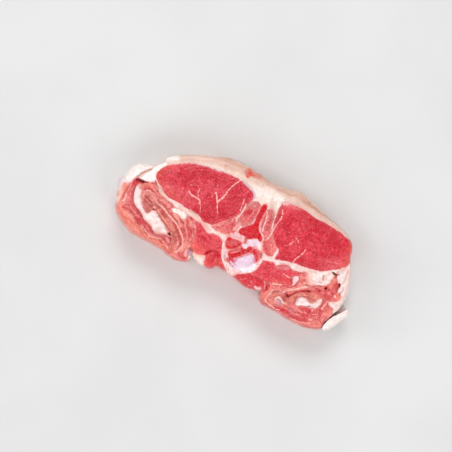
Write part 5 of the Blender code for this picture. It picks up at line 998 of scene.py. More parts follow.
def strand_field(bounds, cell=0.25):
    """Noise drawn out along the strands: a raster of values, with the way they run."""
    x0, y0, x1, y1 = bounds
    xs, ys = np.arange(x0, x1, cell), np.arange(y0, y1, cell)
    gx, gy = np.meshgrid(xs, ys)
    # The way the strands run changes slowly, so it is worked out on a coarse raster
    rough = 5
    cx, cy = np.meshgrid(xs[::rough], ys[::rough])
    points = np.stack([cx.ravel(), cy.ravel()], axis=1)
    across = np.zeros((len(points), 2))
    for line in STRANDS:
        line = np.array(line)
        for a, b in zip(line, line[1:]):
            count = max(2, int(np.linalg.norm(b - a) / 1.2))
            way = (b - a) / np.linalg.norm(b - a)
            double = np.array([way[0] ** 2 - way[1] ** 2, 2 * way[0] * way[1]])
            for t in np.linspace(0, 1, count, endpoint=False):
                c = a + (b - a) * t
                d2 = (points[:, 0] - c[0]) ** 2 + (points[:, 1] - c[1]) ** 2
                across += double * (1 / (d2 + 0.6) ** 2)[:, None]
    across /= np.linalg.norm(across, axis=1)[:, None] + 1e-12
    coarse = across.reshape(*cx.shape, 2)

    def pick(grid, px, py):
        px, py = np.clip(px, 0, grid.shape[1] - 1.001), np.clip(py, 0, grid.shape[0] - 1.001)
        ix, iy = px.astype(int), py.astype(int)
        fx, fy = px - ix, py - iy
        return (grid[iy, ix] * (1 - fx) * (1 - fy) + grid[iy, ix + 1] * fx * (1 - fy)
                + grid[iy + 1, ix] * (1 - fx) * fy + grid[iy + 1, ix + 1] * fx * fy)

    at_x, at_y = (gx - x0) / (cell * rough), (gy - y0) / (cell * rough)
    angle = 0.5 * np.arctan2(pick(coarse[..., 1], at_x, at_y), pick(coarse[..., 0], at_x, at_y))
    angle = angle + 0.16 * layered(gx / 6, gy / 6, seed=5)
    ux, uy = np.cos(angle), np.sin(angle)
    fine = layered(gx / 0.75, gy / 0.75, seed=31, octaves=2, gain=0.6)
    broad = layered(gx / 1.9, gy / 1.9, seed=32, octaves=2, gain=0.6)

    cols, rows = np.meshgrid(np.arange(len(xs), dtype=float), np.arange(len(ys), dtype=float))
    sums = [fine.copy(), broad.copy()]
    for sign in (1, -1):
        px, py = cols.copy(), rows.copy()
        vx, vy = sign * ux, sign * uy
        for _ in range(16):
            px += vx
            py += vy
            nx, ny = pick(ux, px, py), pick(uy, px, py)
            flip = np.where(nx * vx + ny * vy < 0, -1, 1)
            vx, vy = nx * flip, ny * flip
            sums[0] += pick(fine, px, py)
            sums[1] += pick(broad, px, py)
    found = []
    for grid in sums:
        grid = grid / grid.std()
        found.append(np.clip(grid / 2.2, -1, 1))

    def value(xy, which):
        return pick(found[which], (xy[:, 0] - x0) / cell, (xy[:, 1] - y0) / cell)

    return value


def mark_value(xy, mark):
    """How strongly one mark shows at each point, from 0 to 1, with the wander of its line already in xy."""
    width = mark[1]
    if width < 0:
        d = signed(xy, closed_curve(mark[5], 0.5), reach=2.0 - width)
        return 1 - steps(d, width, -width)
    line = smooth_line(mark[5]) if len(mark[5]) > 1 else np.array(mark[5], float)
    d, _ = distance(xy, line, reach=width * 3.2 + 0.6)
    return 1 - steps(d, width * 0.45, width * (1.55 if width < 1 else 2.1))


def slice_mesh(rim, labels_of, count):
    """A lattice over the cut face, cut into one patch per label along the outlines. labels_of(points) gives each
    point's signed distances to the pieces' outlines and to the rim."""
    low, high = rim.top.min(0) - 1.0, rim.top.max(0) + 1.0
    rows = int((high[1] - low[1]) / (CELL * 0.866)) + 2
    cols = int((high[0] - low[0]) / CELL) + 2
    j, i = np.mgrid[0:rows, 0:cols]
    x = low[0] + (i + 0.5 * (j % 2)) * CELL
    y = low[1] + j * CELL * 0.866
    points = np.stack([x.ravel(), y.ravel()], axis=1)
    points += 0.10 * CELL * np.stack([lattice_hash(i.ravel(), j.ravel(), 1, 7), lattice_hash(i.ravel(), j.ravel(), 2, 7)], axis=1)
    index = (j * cols + i)
    a, b = index[:-1, :-1], index[:-1, 1:]
    c, d = index[1:, :-1], index[1:, 1:]
    even = (j[:-1, :-1] % 2 == 0)
    tris = np.concatenate([
        np.stack([a, b, c], -1)[even], np.stack([b, d, c], -1)[even],
        np.stack([a, b, d], -1)[~even], np.stack([a, d, c], -1)[~even],
    ])
    dist, edge = labels_of(points)
    hit = dist < 0
    label = np.where(hit.any(1), hit.argmax(1), dist.argmin(1))
    label = np.where(edge < 0, label, -1)
    keep = (label[tris] >= 0).any(1)
    tris = tris[keep]

    def rank(k):
        return k  # the rim, -1, comes before every piece

    pairs, mixed = {}, []
    new_points, new_dist, new_edge, new_outer = [], [], [], []
    n0 = len(points)

    def crossing(p, q):
        key = (p, q) if p < q else (q, p)
        if key not in pairs:
            p, q = key
            lead = min(label[p], label[q])
            vp, vq = (edge[p], edge[q]) if lead < 0 else (dist[p, lead], dist[q, lead])
            t = vp / (vp - vq) if vp != vq else 0.5
            t = min(max(t, 0.08), 0.92)
            pairs[key] = n0 + len(new_points)
            new_points.append(points[p] + (points[q] - points[p]) * t)
            new_dist.append(dist[p] + (dist[q] - dist[p]) * t)
            new_edge.append(edge[p] + (edge[q] - edge[p]) * t)
            new_outer.append(lead < 0)
        return pairs[key]

    same = (label[tris] == label[tris][:, :1]).all(1)
    patches = [tris[same & (label[tris[:, 0]] == k)].tolist() for k in range(count)]
    for tri in tris[~same].tolist():
        l = [int(label[v]) for v in tri]
        if len(set(l)) == 2:
            for r in range(3):
                if l[r] != l[(r + 1) % 3] and l[r] != l[(r + 2) % 3]:
                    break
            v0, v1, v2 = tri[r], tri[(r + 1) % 3], tri[(r + 2) % 3]
            e1, e2 = crossing(v0, v1), crossing(v0, v2)
            if l[r] >= 0:
                patches[l[r]].append([v0, e1, e2])
            other = l[(r + 1) % 3]
            if other >= 0:
                patches[other].append([e1, v1, v2])
                patches[other].append([e1, v2, e2])
        else:
            e = [crossing(tri[0], tri[1]), crossing(tri[1], tri[2]), crossing(tri[2], tri[0])]
            centre = n0 + len(new_points)
            new_points.append(sum(new_points[k - n0] for k in e) / 3)
            new_dist.append(sum(new_dist[k - n0] for k in e) / 3)
            new_edge.append(sum(new_edge[k - n0] for k in e) / 3)
            new_outer.append(-1 in l)
            pairs[("c", centre)] = centre
            for r in range(3):
                if l[r] >= 0:
                    patches[l[r]].append([tri[r], e[r], centre])
                    patches[l[r]].append([tri[r], centre, e[r - 1]])
    outer = np.zeros(n0 + len(new_points), bool)
    outer[n0:] = new_outer
    points = np.vstack([points, np.array(new_points)])
    dist = np.vstack([dist, np.array(new_dist)])
    edge = np.concatenate([edge, np.array(new_edge)])
    return points, dist, edge, label, outer, [np.array(p, int).reshape(-1, 3) for p in patches]


def profile(t):
    """How far out the wall has come at each height, given as a part of the thickness."""
    heights = np.array([row[0] for row in WALL[::-1]])
    outs = np.array([row[1] for row in WALL[::-1]])
    t = np.asarray(t, float)
    i = np.clip(np.searchsorted(heights, t, side="right") - 1, 0, len(heights) - 2)
    slope = np.gradient(outs, heights)
    h = heights[i + 1] - heights[i]
    u = (t - heights[i]) / h
    return ((2 * u**3 - 3 * u**2 + 1) * outs[i] + (u**3 - 2 * u**2 + u) * h * slope[i]
            + (-2 * u**3 + 3 * u**2) * outs[i + 1] + (u**3 - u**2) * h * slope[i + 1])


def level_heights():
    u = np.linspace(0, 1, LEVELS + 1)
    return 1 - (0.45 * (0.5 - 0.5 * np.cos(math.pi * u)) + 0.55 * u)


def crease_depth(xy):
    depth = np.full(len(xy), 0.18)
    for x, y, radius, more in CREASES:
        depth += more * np.exp(-((xy[:, 0] - x) ** 2 + (xy[:, 1] - y) ** 2) / radius**2)
    return depth


def wander(xy, amount=0.28, size=2.2):
    """The same points shifted by a little noise, so that no line looks ruled."""
    dx = layered(xy[:, 0] / size, xy[:, 1] / size, seed=91, octaves=2)
    dy = layered(xy[:, 0] / size, xy[:, 1] / size, seed=92, octaves=2)
    return xy + amount * np.stack([dx, dy], axis=1)


def masks_at(xy, name, fade, wide_fade):
    """Every mask's value at each point of one piece. The fades take the marks away lower on the wall, the broad ones
    more slowly."""
    shifted = wander(xy)
    patchy = 0.78 + 0.42 * layered(xy[:, 0] / 1.3, xy[:, 1] / 1.3, seed=61, octaves=2)
    found = {mask: np.zeros(len(xy)) for mask in MASKS}
    low, high = xy.min(0) - 4, xy.max(0) + 4
    for mark in MARKS:
        mask, width, strength, _, kept, line = mark
        if kept and not name.startswith(kept):
            continue
        pts = np.array(line)
        room = 3 * abs(width)
        if (pts.max(0) + room < low).any() or (pts.min(0) - room > high).any():
            continue
        value = mark_value(shifted, mark) * strength
        value = value * (patchy if mask == "vein" else 1.0)
        found[mask] = np.maximum(found[mask], np.clip(value, 0, 1) * (wide_fade if abs(width) >= 1.0 else fade))
    return found


class Slice:
    """The lattice of one slab: where every column of points stands, from the upper cut face to the lower one."""

    def __init__(self, edge, outlines, names, strands):
        self.names = names
        self.rim = Rim(edge)
        self.strands = strands
        curves = [closed_curve(outline, 0.7)[:, :2] for outline in outlines]

        def distances(points):
            at = wander(points, 0.42, 1.7)
            dist = np.stack([signed(at, curve) for curve in curves], axis=1) if curves else np.full((len(points), 1), -50.0)
            return dist, signed(wander(points, 0.22, 1.4), self.rim.top)

        count = max(1, len(curves))
        points, dist, edge_d, _, outer, patches = slice_mesh(self.rim, distances, count)
        self.xy, self.outer, self.patches = points, outer, patches
        hit = dist < 0
        label = np.where(hit.any(1), hit.argmax(1), dist.argmin(1))
        if curves:
            higher = np.where(np.arange(count)[None, :] < label[:, None], dist, 99.0).min(1)
            own = -dist[np.arange(len(points)), label]
            depth = np.clip(np.minimum(own, higher), 0, None)
        else:
            depth = np.full(len(points), 20.0)
        self.label, self.depth, self.inset = label, depth, -edge_d
        _, where = distance(points, self.rim.top, closed=True)
        lean, way, along = self.rim.at(where)
        fall = 1 - steps(self.inset, 0.0, SPREAD)
        self.lean, self.way, self.along, self.fall = lean * fall[:, None], way * fall[:, None], along, fall
        self.heights()

    def heights(self):
        xy, depth, label = self.xy, self.depth, self.label
        x, y = xy[:, 0], xy[:, 1]
        rise, reach, rough, stringy, bundled = (np.zeros(len(xy)) for _ in range(5))
        for k, name in enumerate(self.names):
            row = LOOKS[name]
            mine = label == k
            rise[mine], reach[mine], rough[mine] = row["rise"], row["reach"], row["rough"]
            stringy[mine] = {"lean_flank": 1.0, "lean_tenderloin": 0.45, "lean_beside_spine": 0.5}.get(row["slot"], 0.2)
            bundled[mine] = 1.0 if row["slot"] == "lean_eye" else 0.0
        crease = crease_depth(xy)
        z = THICK + 0.22 * layered(x / 17, y / 17, seed=3) + rise * (1 - np.exp(-depth / np.maximum(reach, 0.1)))
        z -= crease * np.exp(-((depth / 0.62) ** 1.2))
        z -= 0.50 * np.exp(-np.clip(self.inset, 0, None) / 0.75)
        soft = 1 - np.exp(-depth / 0.5)
        z += soft * rough * (0.9 * layered(x / 2.6, y / 2.6, seed=11) + 0.7 * layered(x / 0.95, y / 0.95, seed=12, octaves=2))
        z += soft * stringy * (0.13 * self.strands(xy, 0) + 0.22 * self.strands(xy, 1))
        z += soft * bundled * 0.09 * layered(x / 1.25, y / 1.25, seed=13, octaves=2)
        shifted = wander(xy)
        for mark in MARKS:
            _, width, _, lift, kept, _ = mark
            if not lift:
                continue
            value = mark_value(shifted, mark)
            if kept:
                value = value * np.isin(label, [k for k, name in enumerate(self.names) if name.startswith(kept)])
            z += lift * value
        self.z_top = z
        base = 0.10 * (1 + layered(x / 9, y / 9, seed=21)) + 0.55 * crease * np.exp(-((depth / 0.6) ** 1.2))
        base += 0.05 * (1 + layered(x / 1.4, y / 1.4, seed=22, octaves=2)) + 0.35 * np.exp(-np.clip(self.inset, 0, None) / 0.9)
        self.z_low = base - base.min()

    def place(self, index, t):
        """Where the points of these columns are at height t, a number or one for each."""
        t = np.broadcast_to(np.asarray(t, float), (len(index),))
        out = profile(t)
        xy = self.xy[index] + self.lean[index] * out[:, None]
        z = self.z_low[index] + (self.z_top[index] - self.z_low[index]) * t
        swell = np.sin(math.pi * np.clip(t, 0, 1)) ** 0.8
        bump = 0.45 * layered(xy[:, 0] / 8, xy[:, 1] / 8, z / 8, seed=41) + 0.16 * layered(xy[:, 0] / 2.2, xy[:, 1] / 2.2, z / 3.5, seed=42)
        groove = -0.55 * np.exp(-self.depth[index] / 0.7) * np.clip((1 - t) * 7, 0, 1) * np.clip(t * 9, 0, 1)
        xy = xy + self.way[index] * (bump * swell + groove)[:, None]
        # Low on the wall the tissues run a little to one side or the other
        across = np.stack([-self.way[index][:, 1], self.way[index][:, 0]], axis=1)
        drift = 2.3 * layered(xy[:, 0] / 9, xy[:, 1] / 9, z / 10, seed=43, octaves=2) * steps(1 - t, 0.0, 0.45)
        xy = xy + across * drift[:, None]
        return np.column_stack([xy, z])


def along_of(part, source):
    return part.along[source]


def build_piece(name, part, k):
    """The closed mesh of one piece, with its masks, and its own map for baking."""
    look = LOOKS[name]
    tris = part.patches[k]
    used, inverse = np.unique(tris, return_inverse=True)
    tris = inverse.reshape(-1, 3)
    n = len(used)
    directed = np.concatenate([tris[:, [0, 1]], tris[:, [1, 2]], tris[:, [2, 0]]])
    keys = directed[:, 0].astype(np.int64) * n + directed[:, 1]
    back = directed[:, 1].astype(np.int64) * n + directed[:, 0]
    border = directed[~np.isin(keys, back)]
    outer = part.outer[used]
    top = part.place(used, 1.0)
    low = part.place(used, 0.0)
    verts = [top, low]
    heights = level_heights()
    kinds = [np.zeros(n), np.zeros(n)]
    t_of = [np.ones(n), np.zeros(n)]
    source = [used, used]
    total = 2 * n
    columns = {}
    coarse = [h for h in range(0, LEVELS + 1) if h % COARSE == 0 and h < LEVELS] + [LEVELS]
    for v in np.unique(border):
        rows = list(range(LEVELS + 1)) if outer[v] else coarse
        inner = [h for h in rows if 0 < h < LEVELS]
        columns[v] = {0: v, LEVELS: n + v}
        for h in inner:
            columns[v][h] = total
            total += 1
        kinds.append(np.ones(len(inner)) if outer[v] else np.full(len(inner), 2.0))
        t_of.append(heights[inner])
        source.append(np.full(len(inner), used[v]))
    verts.append(part.place(np.concatenate(source[2:]), np.concatenate(t_of[2:])))
    faces = tris.tolist() + (tris[:, ::-1] + n).tolist()
    face_kind = [0] * len(tris) + [1] * len(tris)
    sharp = set()
    for a, b in border.tolist():
        shared = sorted(set(columns[a]) & set(columns[b]))
        wall = outer[a] and outer[b]
        for h0, h1 in zip(shared, shared[1:]):
            left = [columns[a][h] for h in sorted(columns[a]) if h0 <= h <= h1]
            right = [columns[b][h] for h in sorted(columns[b]) if h0 <= h <= h1]
            faces.append(left + right[::-1])
            face_kind.append(2 if wall else 3)
        if not wall:
            sharp.add((min(a, b), max(a, b)))
            sharp.add((min(a, b) + n, max(a, b) + n))
            for v in (a, b):
                if outer[v]:
                    column = [columns[v][h] for h in sorted(columns[v])]
                    sharp.update((min(p, q), max(p, q)) for p, q in zip(column, column[1:]))
    verts = np.vstack(verts)
    kinds, t_of, source = np.concatenate(kinds), np.concatenate(t_of), np.concatenate(source)
    mesh = bpy.data.meshes.new(name)
    place = np.column_stack([verts[:, 0] + MIDLINE[0], verts[:, 1] + MIDLINE[1], verts[:, 2]]) * MM
    mesh.from_pydata(place.tolist(), [], faces)
    mesh.polygons.foreach_set("use_smooth", np.ones(len(mesh.polygons), bool))
    ends = np.empty(len(mesh.edges) * 2, np.int32)
    mesh.edges.foreach_get("vertices", ends)
    ends = np.sort(ends.reshape(-1, 2), axis=1)
    flags = np.array([(a, b) in sharp for a, b in ends.tolist()])
    mesh.attributes.new("sharp_edge", "BOOLEAN", "EDGE").data.foreach_set("value", flags)

    # What the materials read
    xy, z = verts[:, :2], verts[:, 2]
    on_wall = kinds > 0
    deep_down = 0.10 * layered(along_of(part, source) / 2.2, z / 6.0, seed=75, octaves=2)
    fade = np.where(on_wall, steps(t_of + deep_down, 0.80, 0.97), np.where(t_of > 0.5, 1.0, 0.8))
    wide_fade = np.where(on_wall, steps(t_of + 2 * deep_down, 0.35, 0.92), np.where(t_of > 0.5, 1.0, 0.8))
    flat = np.where((kinds == 0)[:, None], part.xy[source], xy)
    found = masks_at(flat, name, fade, wide_fade)
    depth, inset, along = part.depth[source], np.clip(part.inset[source], 0, None), part.along[source]
    found["border"] = np.exp(-((depth / 0.55) ** 2))
    hang = np.linalg.norm(part.lean[source], axis=1) * np.clip(profile(t_of), 0, None)
    found["skin"] = np.where(on_wall | (part.outer[source] & (t_of > 0.5)), 0.5 + 0.5 * steps(np.minimum(hang, (1 - t_of) * 26), 0.15, 1.6), 0.62 * (1 - steps(inset, 0.0, 7.0 if name == "fat_cover" else 3.0)))
    upright = 0.75 * layered(along / 0.8, z / 9.0, seed=71, octaves=2) + 0.4 * layered(along / 2.5, z / 14.0, seed=72)
    level = 0.8 * layered(along / 9.0, z / 1.0, seed=73, octaves=2) + 0.5 * layered(along / 16.0, z / 2.6, seed=74)
    side_strand = level if look["slot"] == "fat" else upright
    cut_strand = 0.55 * part.strands(flat, 0) + 0.6 * part.strands(flat, 1)
    found["strand"] = np.where(on_wall, side_strand, cut_strand)
    found["side"] = np.where(on_wall, steps(1 - t_of, 0.03, 0.35), 0.0)
    for key, value in found.items():
        layer = mesh.attributes.new(key, "FLOAT", "POINT")
        layer.data.foreach_set("value", value.astype(np.float32))
    bake_map(mesh, verts, along, face_kind)
    thing = bpy.data.objects.new(name + "_meat", mesh)
    bpy.context.scene.collection.objects.link(thing)
    mesh.materials.append(look["material"])
    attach(thing, "root")
    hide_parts(name)
    return thing


def bake_map(mesh, verts, along, face_kind):
    """One map over the piece: upper face, lower face, outer wall in strips, and the hidden walls in a corner."""
    loops = np.empty(len(mesh.loops), np.int32)
    mesh.loops.foreach_get("vertex_index", loops)
    sizes = np.empty(len(mesh.polygons), np.int32)
    mesh.polygons.foreach_get("loop_total", sizes)
    kind = np.repeat(np.array(face_kind), sizes)
    x, y, z = verts[loops, 0], verts[loops, 1], verts[loops, 2]
    s = along[loops]
    x0, y0 = verts[:, 0].min(), verts[:, 1].min()
    wide, tall = verts[:, 0].max() - x0, verts[:, 1].max() - y0
    gap, strip = 1.0, 27.5
    u, v = np.zeros(len(loops)), np.zeros(len(loops))
    upper, lower, wall, hidden = (kind == i for i in range(4))
    if wide >= tall:
        u[upper | lower], v[upper | lower] = (x - x0)[upper | lower], (y - y0)[upper | lower]
        v[lower] += tall + gap
        span, base = wide, 2 * (tall + gap)
    else:
        u[upper | lower], v[upper | lower] = (x - x0)[upper | lower], (y - y0)[upper | lower]
        u[lower] += wide + gap
        span, base = 2 * wide + gap, tall + gap
    span = max(span, 30.0)
    used = 0.0
    first = np.concatenate([[0], np.cumsum(sizes)[:-1]])
    of_face = np.repeat(np.arange(len(sizes)), sizes)
    if wall.any():
        start = np.minimum.reduceat(np.where(wall, s, 1e9), first)
        end = np.maximum.reduceat(np.where(wall, s, -1e9), first)
        good = (start < 1e8) & (end - start < 30)  # a face across the rim's own start is left in the corner
        filled = np.unique(np.floor(start[good] / 2.0).astype(int))
        breaks = np.nonzero(np.diff(filled) > 1)[0]
        runs = np.split(filled, breaks + 1)
        row, left = 0, 0.0
        slot = {}
        for run in runs:
            for cell in run:
                if left + 2.0 > span:
                    row, left = row + 1, 0.0
                slot[int(cell)] = (row, left)
                left += 2.0
            left += 0.6
        cell_of = np.floor(start / 2.0)
        place = np.array([slot.get(int(c), (0, 0.0)) if g else (0, 0.0) for c, g in zip(np.where(good, cell_of, -1), good)])
        local = s - cell_of[of_face] * 2.0
        ok = wall & good[of_face]
        u[ok] = place[of_face, 1][ok] + local[ok]
        v[ok] = base + place[of_face, 0][ok] * (strip + gap) + z[ok]
        used = (row + 1) * (strip + gap)
        hidden = hidden | (wall & ~good[of_face])
    side = max(span + 2.0, base + used + 2.0)
    u[hidden], v[hidden] = side - 1.5 + 0.01 * (x - x0)[hidden] / max(wide, 1), side - 1.5 + 0.01 * (z / 27)[hidden]
    layer = mesh.uv_layers.new(name="OFBake")
    layer.data.foreach_set("uv", np.column_stack([(u + 0.5) / (side + 1), (v + 0.5) / (side + 1)]).astype(np.float32).ravel())


def linear(rgb):
    """A colour read on a 0 to 255 scale, as the light it stands for."""
    return tuple(c / 255 / 12.92 if c / 255 <= 0.04045 else ((c / 255 + 0.055) / 1.055) ** 2.4 for c in rgb) + (1.0,)


class Graph:
    """A short way to write a material's nodes."""

    def __init__(self, name):
        self.material = bpy.data.materials.new(name)
        self.material.use_nodes = True
        self.tree = self.material.node_tree
        self.shader = self.tree.nodes["Principled BSDF"]

    def put(self, socket, value):
        if isinstance(value, bpy.types.NodeSocket):
            self.tree.links.new(value, socket)
        elif isinstance(value, tuple) and len(value) == 3 and socket.type == "RGBA":
            socket.default_value = (*value, 1.0)
        else:
            socket.default_value = value

    def node(self, kind, settings=None, **inputs):
        node = self.tree.nodes.new(kind)
        for key, value in (settings or {}).items():
            setattr(node, key, value)
        for key, value in inputs.items():
            self.put(node.inputs[key.replace("_", " ")], value)
        return node

    def mask(self, name):
        return self.node("ShaderNodeAttribute", {"attribute_name": name}).outputs["Fac"]

    def math(self, operation, a, b=0.0, c=0.0, clamp=False):
        node = self.node("ShaderNodeMath", {"operation": operation, "use_clamp": clamp})
        for socket, value in zip(node.inputs, (a, b, c)):
            self.put(socket, value)
        return node.outputs[0]

    def between(self, value, low, high, start=0.0, end=1.0):
        node = self.node("ShaderNodeMapRange", {"interpolation_type": "SMOOTHSTEP"})
        for key, item in (("Value", value), ("From Min", low), ("From Max", high), ("To Min", start), ("To Max", end)):
            self.put(node.inputs[key], item)
        return node.outputs[0]

    def mix(self, factor, a, b, blend="MIX"):
        node = self.tree.nodes.new("ShaderNodeMix")
        node.data_type, node.blend_type = "RGBA", blend
        self.put(node.inputs[0], factor)
        self.put(node.inputs[6], a)
        self.put(node.inputs[7], b)
        return node.outputs[2]

    def place(self, scale, turn=(0.0, 0.0, 0.0)):
        coords = self.node("ShaderNodeTexCoord").outputs["Object"]
        node = self.node("ShaderNodeMapping")
        self.put(node.inputs["Vector"], coords)
        node.inputs["Scale"].default_value = tuple(1000 * s for s in scale)
        node.inputs["Rotation"].default_value = turn
        return node.outputs[0]

    def noise(self, vector, scale, detail=3.0, rough=0.55, twist=0.0):
        node = self.node("ShaderNodeTexNoise", Scale=scale, Detail=detail, Roughness=rough, Distortion=twist)
        self.put(node.inputs["Vector"], vector)
        return node.outputs[0]

    def cells(self, vector, scale, feature="F1", out="Distance"):
        node = self.node("ShaderNodeTexVoronoi", {"feature": feature}, Scale=scale)
        self.put(node.inputs["Vector"], vector)
        return node.outputs[out]

    def bump(self, height, distance, strength=1.0, normal=None):
        node = self.node("ShaderNodeBump", Strength=strength, Distance=distance * MM)
        self.put(node.inputs["Height"], height)
        if normal is not None:
            self.put(node.inputs["Normal"], normal)
        return node.outputs[0]


# Colours on a 0 to 255 scale. Each tissue has a body, a lighter fleck and a deeper shade, and the tint that
# every mask turns it to.
# The dark tint, and on the flanks the deep one, is also the painted shade of the slits, holes and creases that the
# marks follow.
TINTS = {
    "lean_eye": {"vein": (252, 186, 182), "dark": (130, 14, 28), "blood": (186, 18, 36), "warm": (228, 96, 80), "pale": (238, 128, 130),
                 "deep": (176, 60, 62), "grey": (206, 160, 160), "border": (220, 104, 112), "side": (196, 66, 74),
                 "crumb": (240, 128, 136), "film": (222, 128, 122)},
    "lean_beside_spine": {"vein": (252, 204, 198), "dark": (140, 24, 36), "blood": (206, 30, 48), "warm": (242, 136, 116), "pale": (246, 176, 168),
                          "deep": (172, 88, 82), "grey": (206, 150, 144), "border": (242, 170, 162), "side": (206, 90, 90),
                          "crumb": (252, 198, 188), "film": (240, 186, 176)},
    "lean_tenderloin": {"vein": (250, 192, 188), "dark": (140, 22, 34), "blood": (204, 24, 40), "warm": (242, 108, 94), "pale": (248, 206, 208),
                        "deep": (176, 70, 62), "grey": (216, 176, 182), "border": (236, 138, 136), "side": (206, 74, 78),
                        "crumb": (252, 168, 166), "film": (240, 172, 164)},
    "lean_flank": {"vein": (255, 200, 186), "dark": (112, 18, 26), "blood": (202, 34, 52), "warm": (242, 140, 122), "pale": (252, 186, 176),
                   "deep": (160, 58, 56), "grey": (204, 146, 170), "border": (238, 158, 146), "side": (226, 118, 106),
                   "crumb": (252, 186, 172), "film": (246, 190, 174)},
    "fat": {"vein": (255, 238, 230), "dark": (118, 34, 32), "blood": (222, 70, 48), "warm": (236, 176, 150), "pale": (255, 248, 244),
            "deep": (200, 142, 128), "grey": (208, 178, 188), "border": (238, 162, 158), "side": (240, 212, 192), "film": (250, 228, 212)},
    "bone": {"vein": (255, 220, 220), "dark": (124, 0, 16), "blood": (212, 2, 22), "warm": (232, 96, 62), "pale": (254, 226, 222),
             "deep": (170, 104, 98), "grey": (238, 212, 226), "border": (240, 156, 160), "side": (240, 196, 188)},
    "cartilage": {"vein": (255, 240, 244), "dark": (150, 70, 80), "blood": (214, 44, 74), "warm": (240, 200, 190), "pale": (252, 244, 250),
                  "deep": (200, 164, 178), "grey": (236, 210, 230), "border": (246, 206, 218), "side": (240, 224, 228)},
}


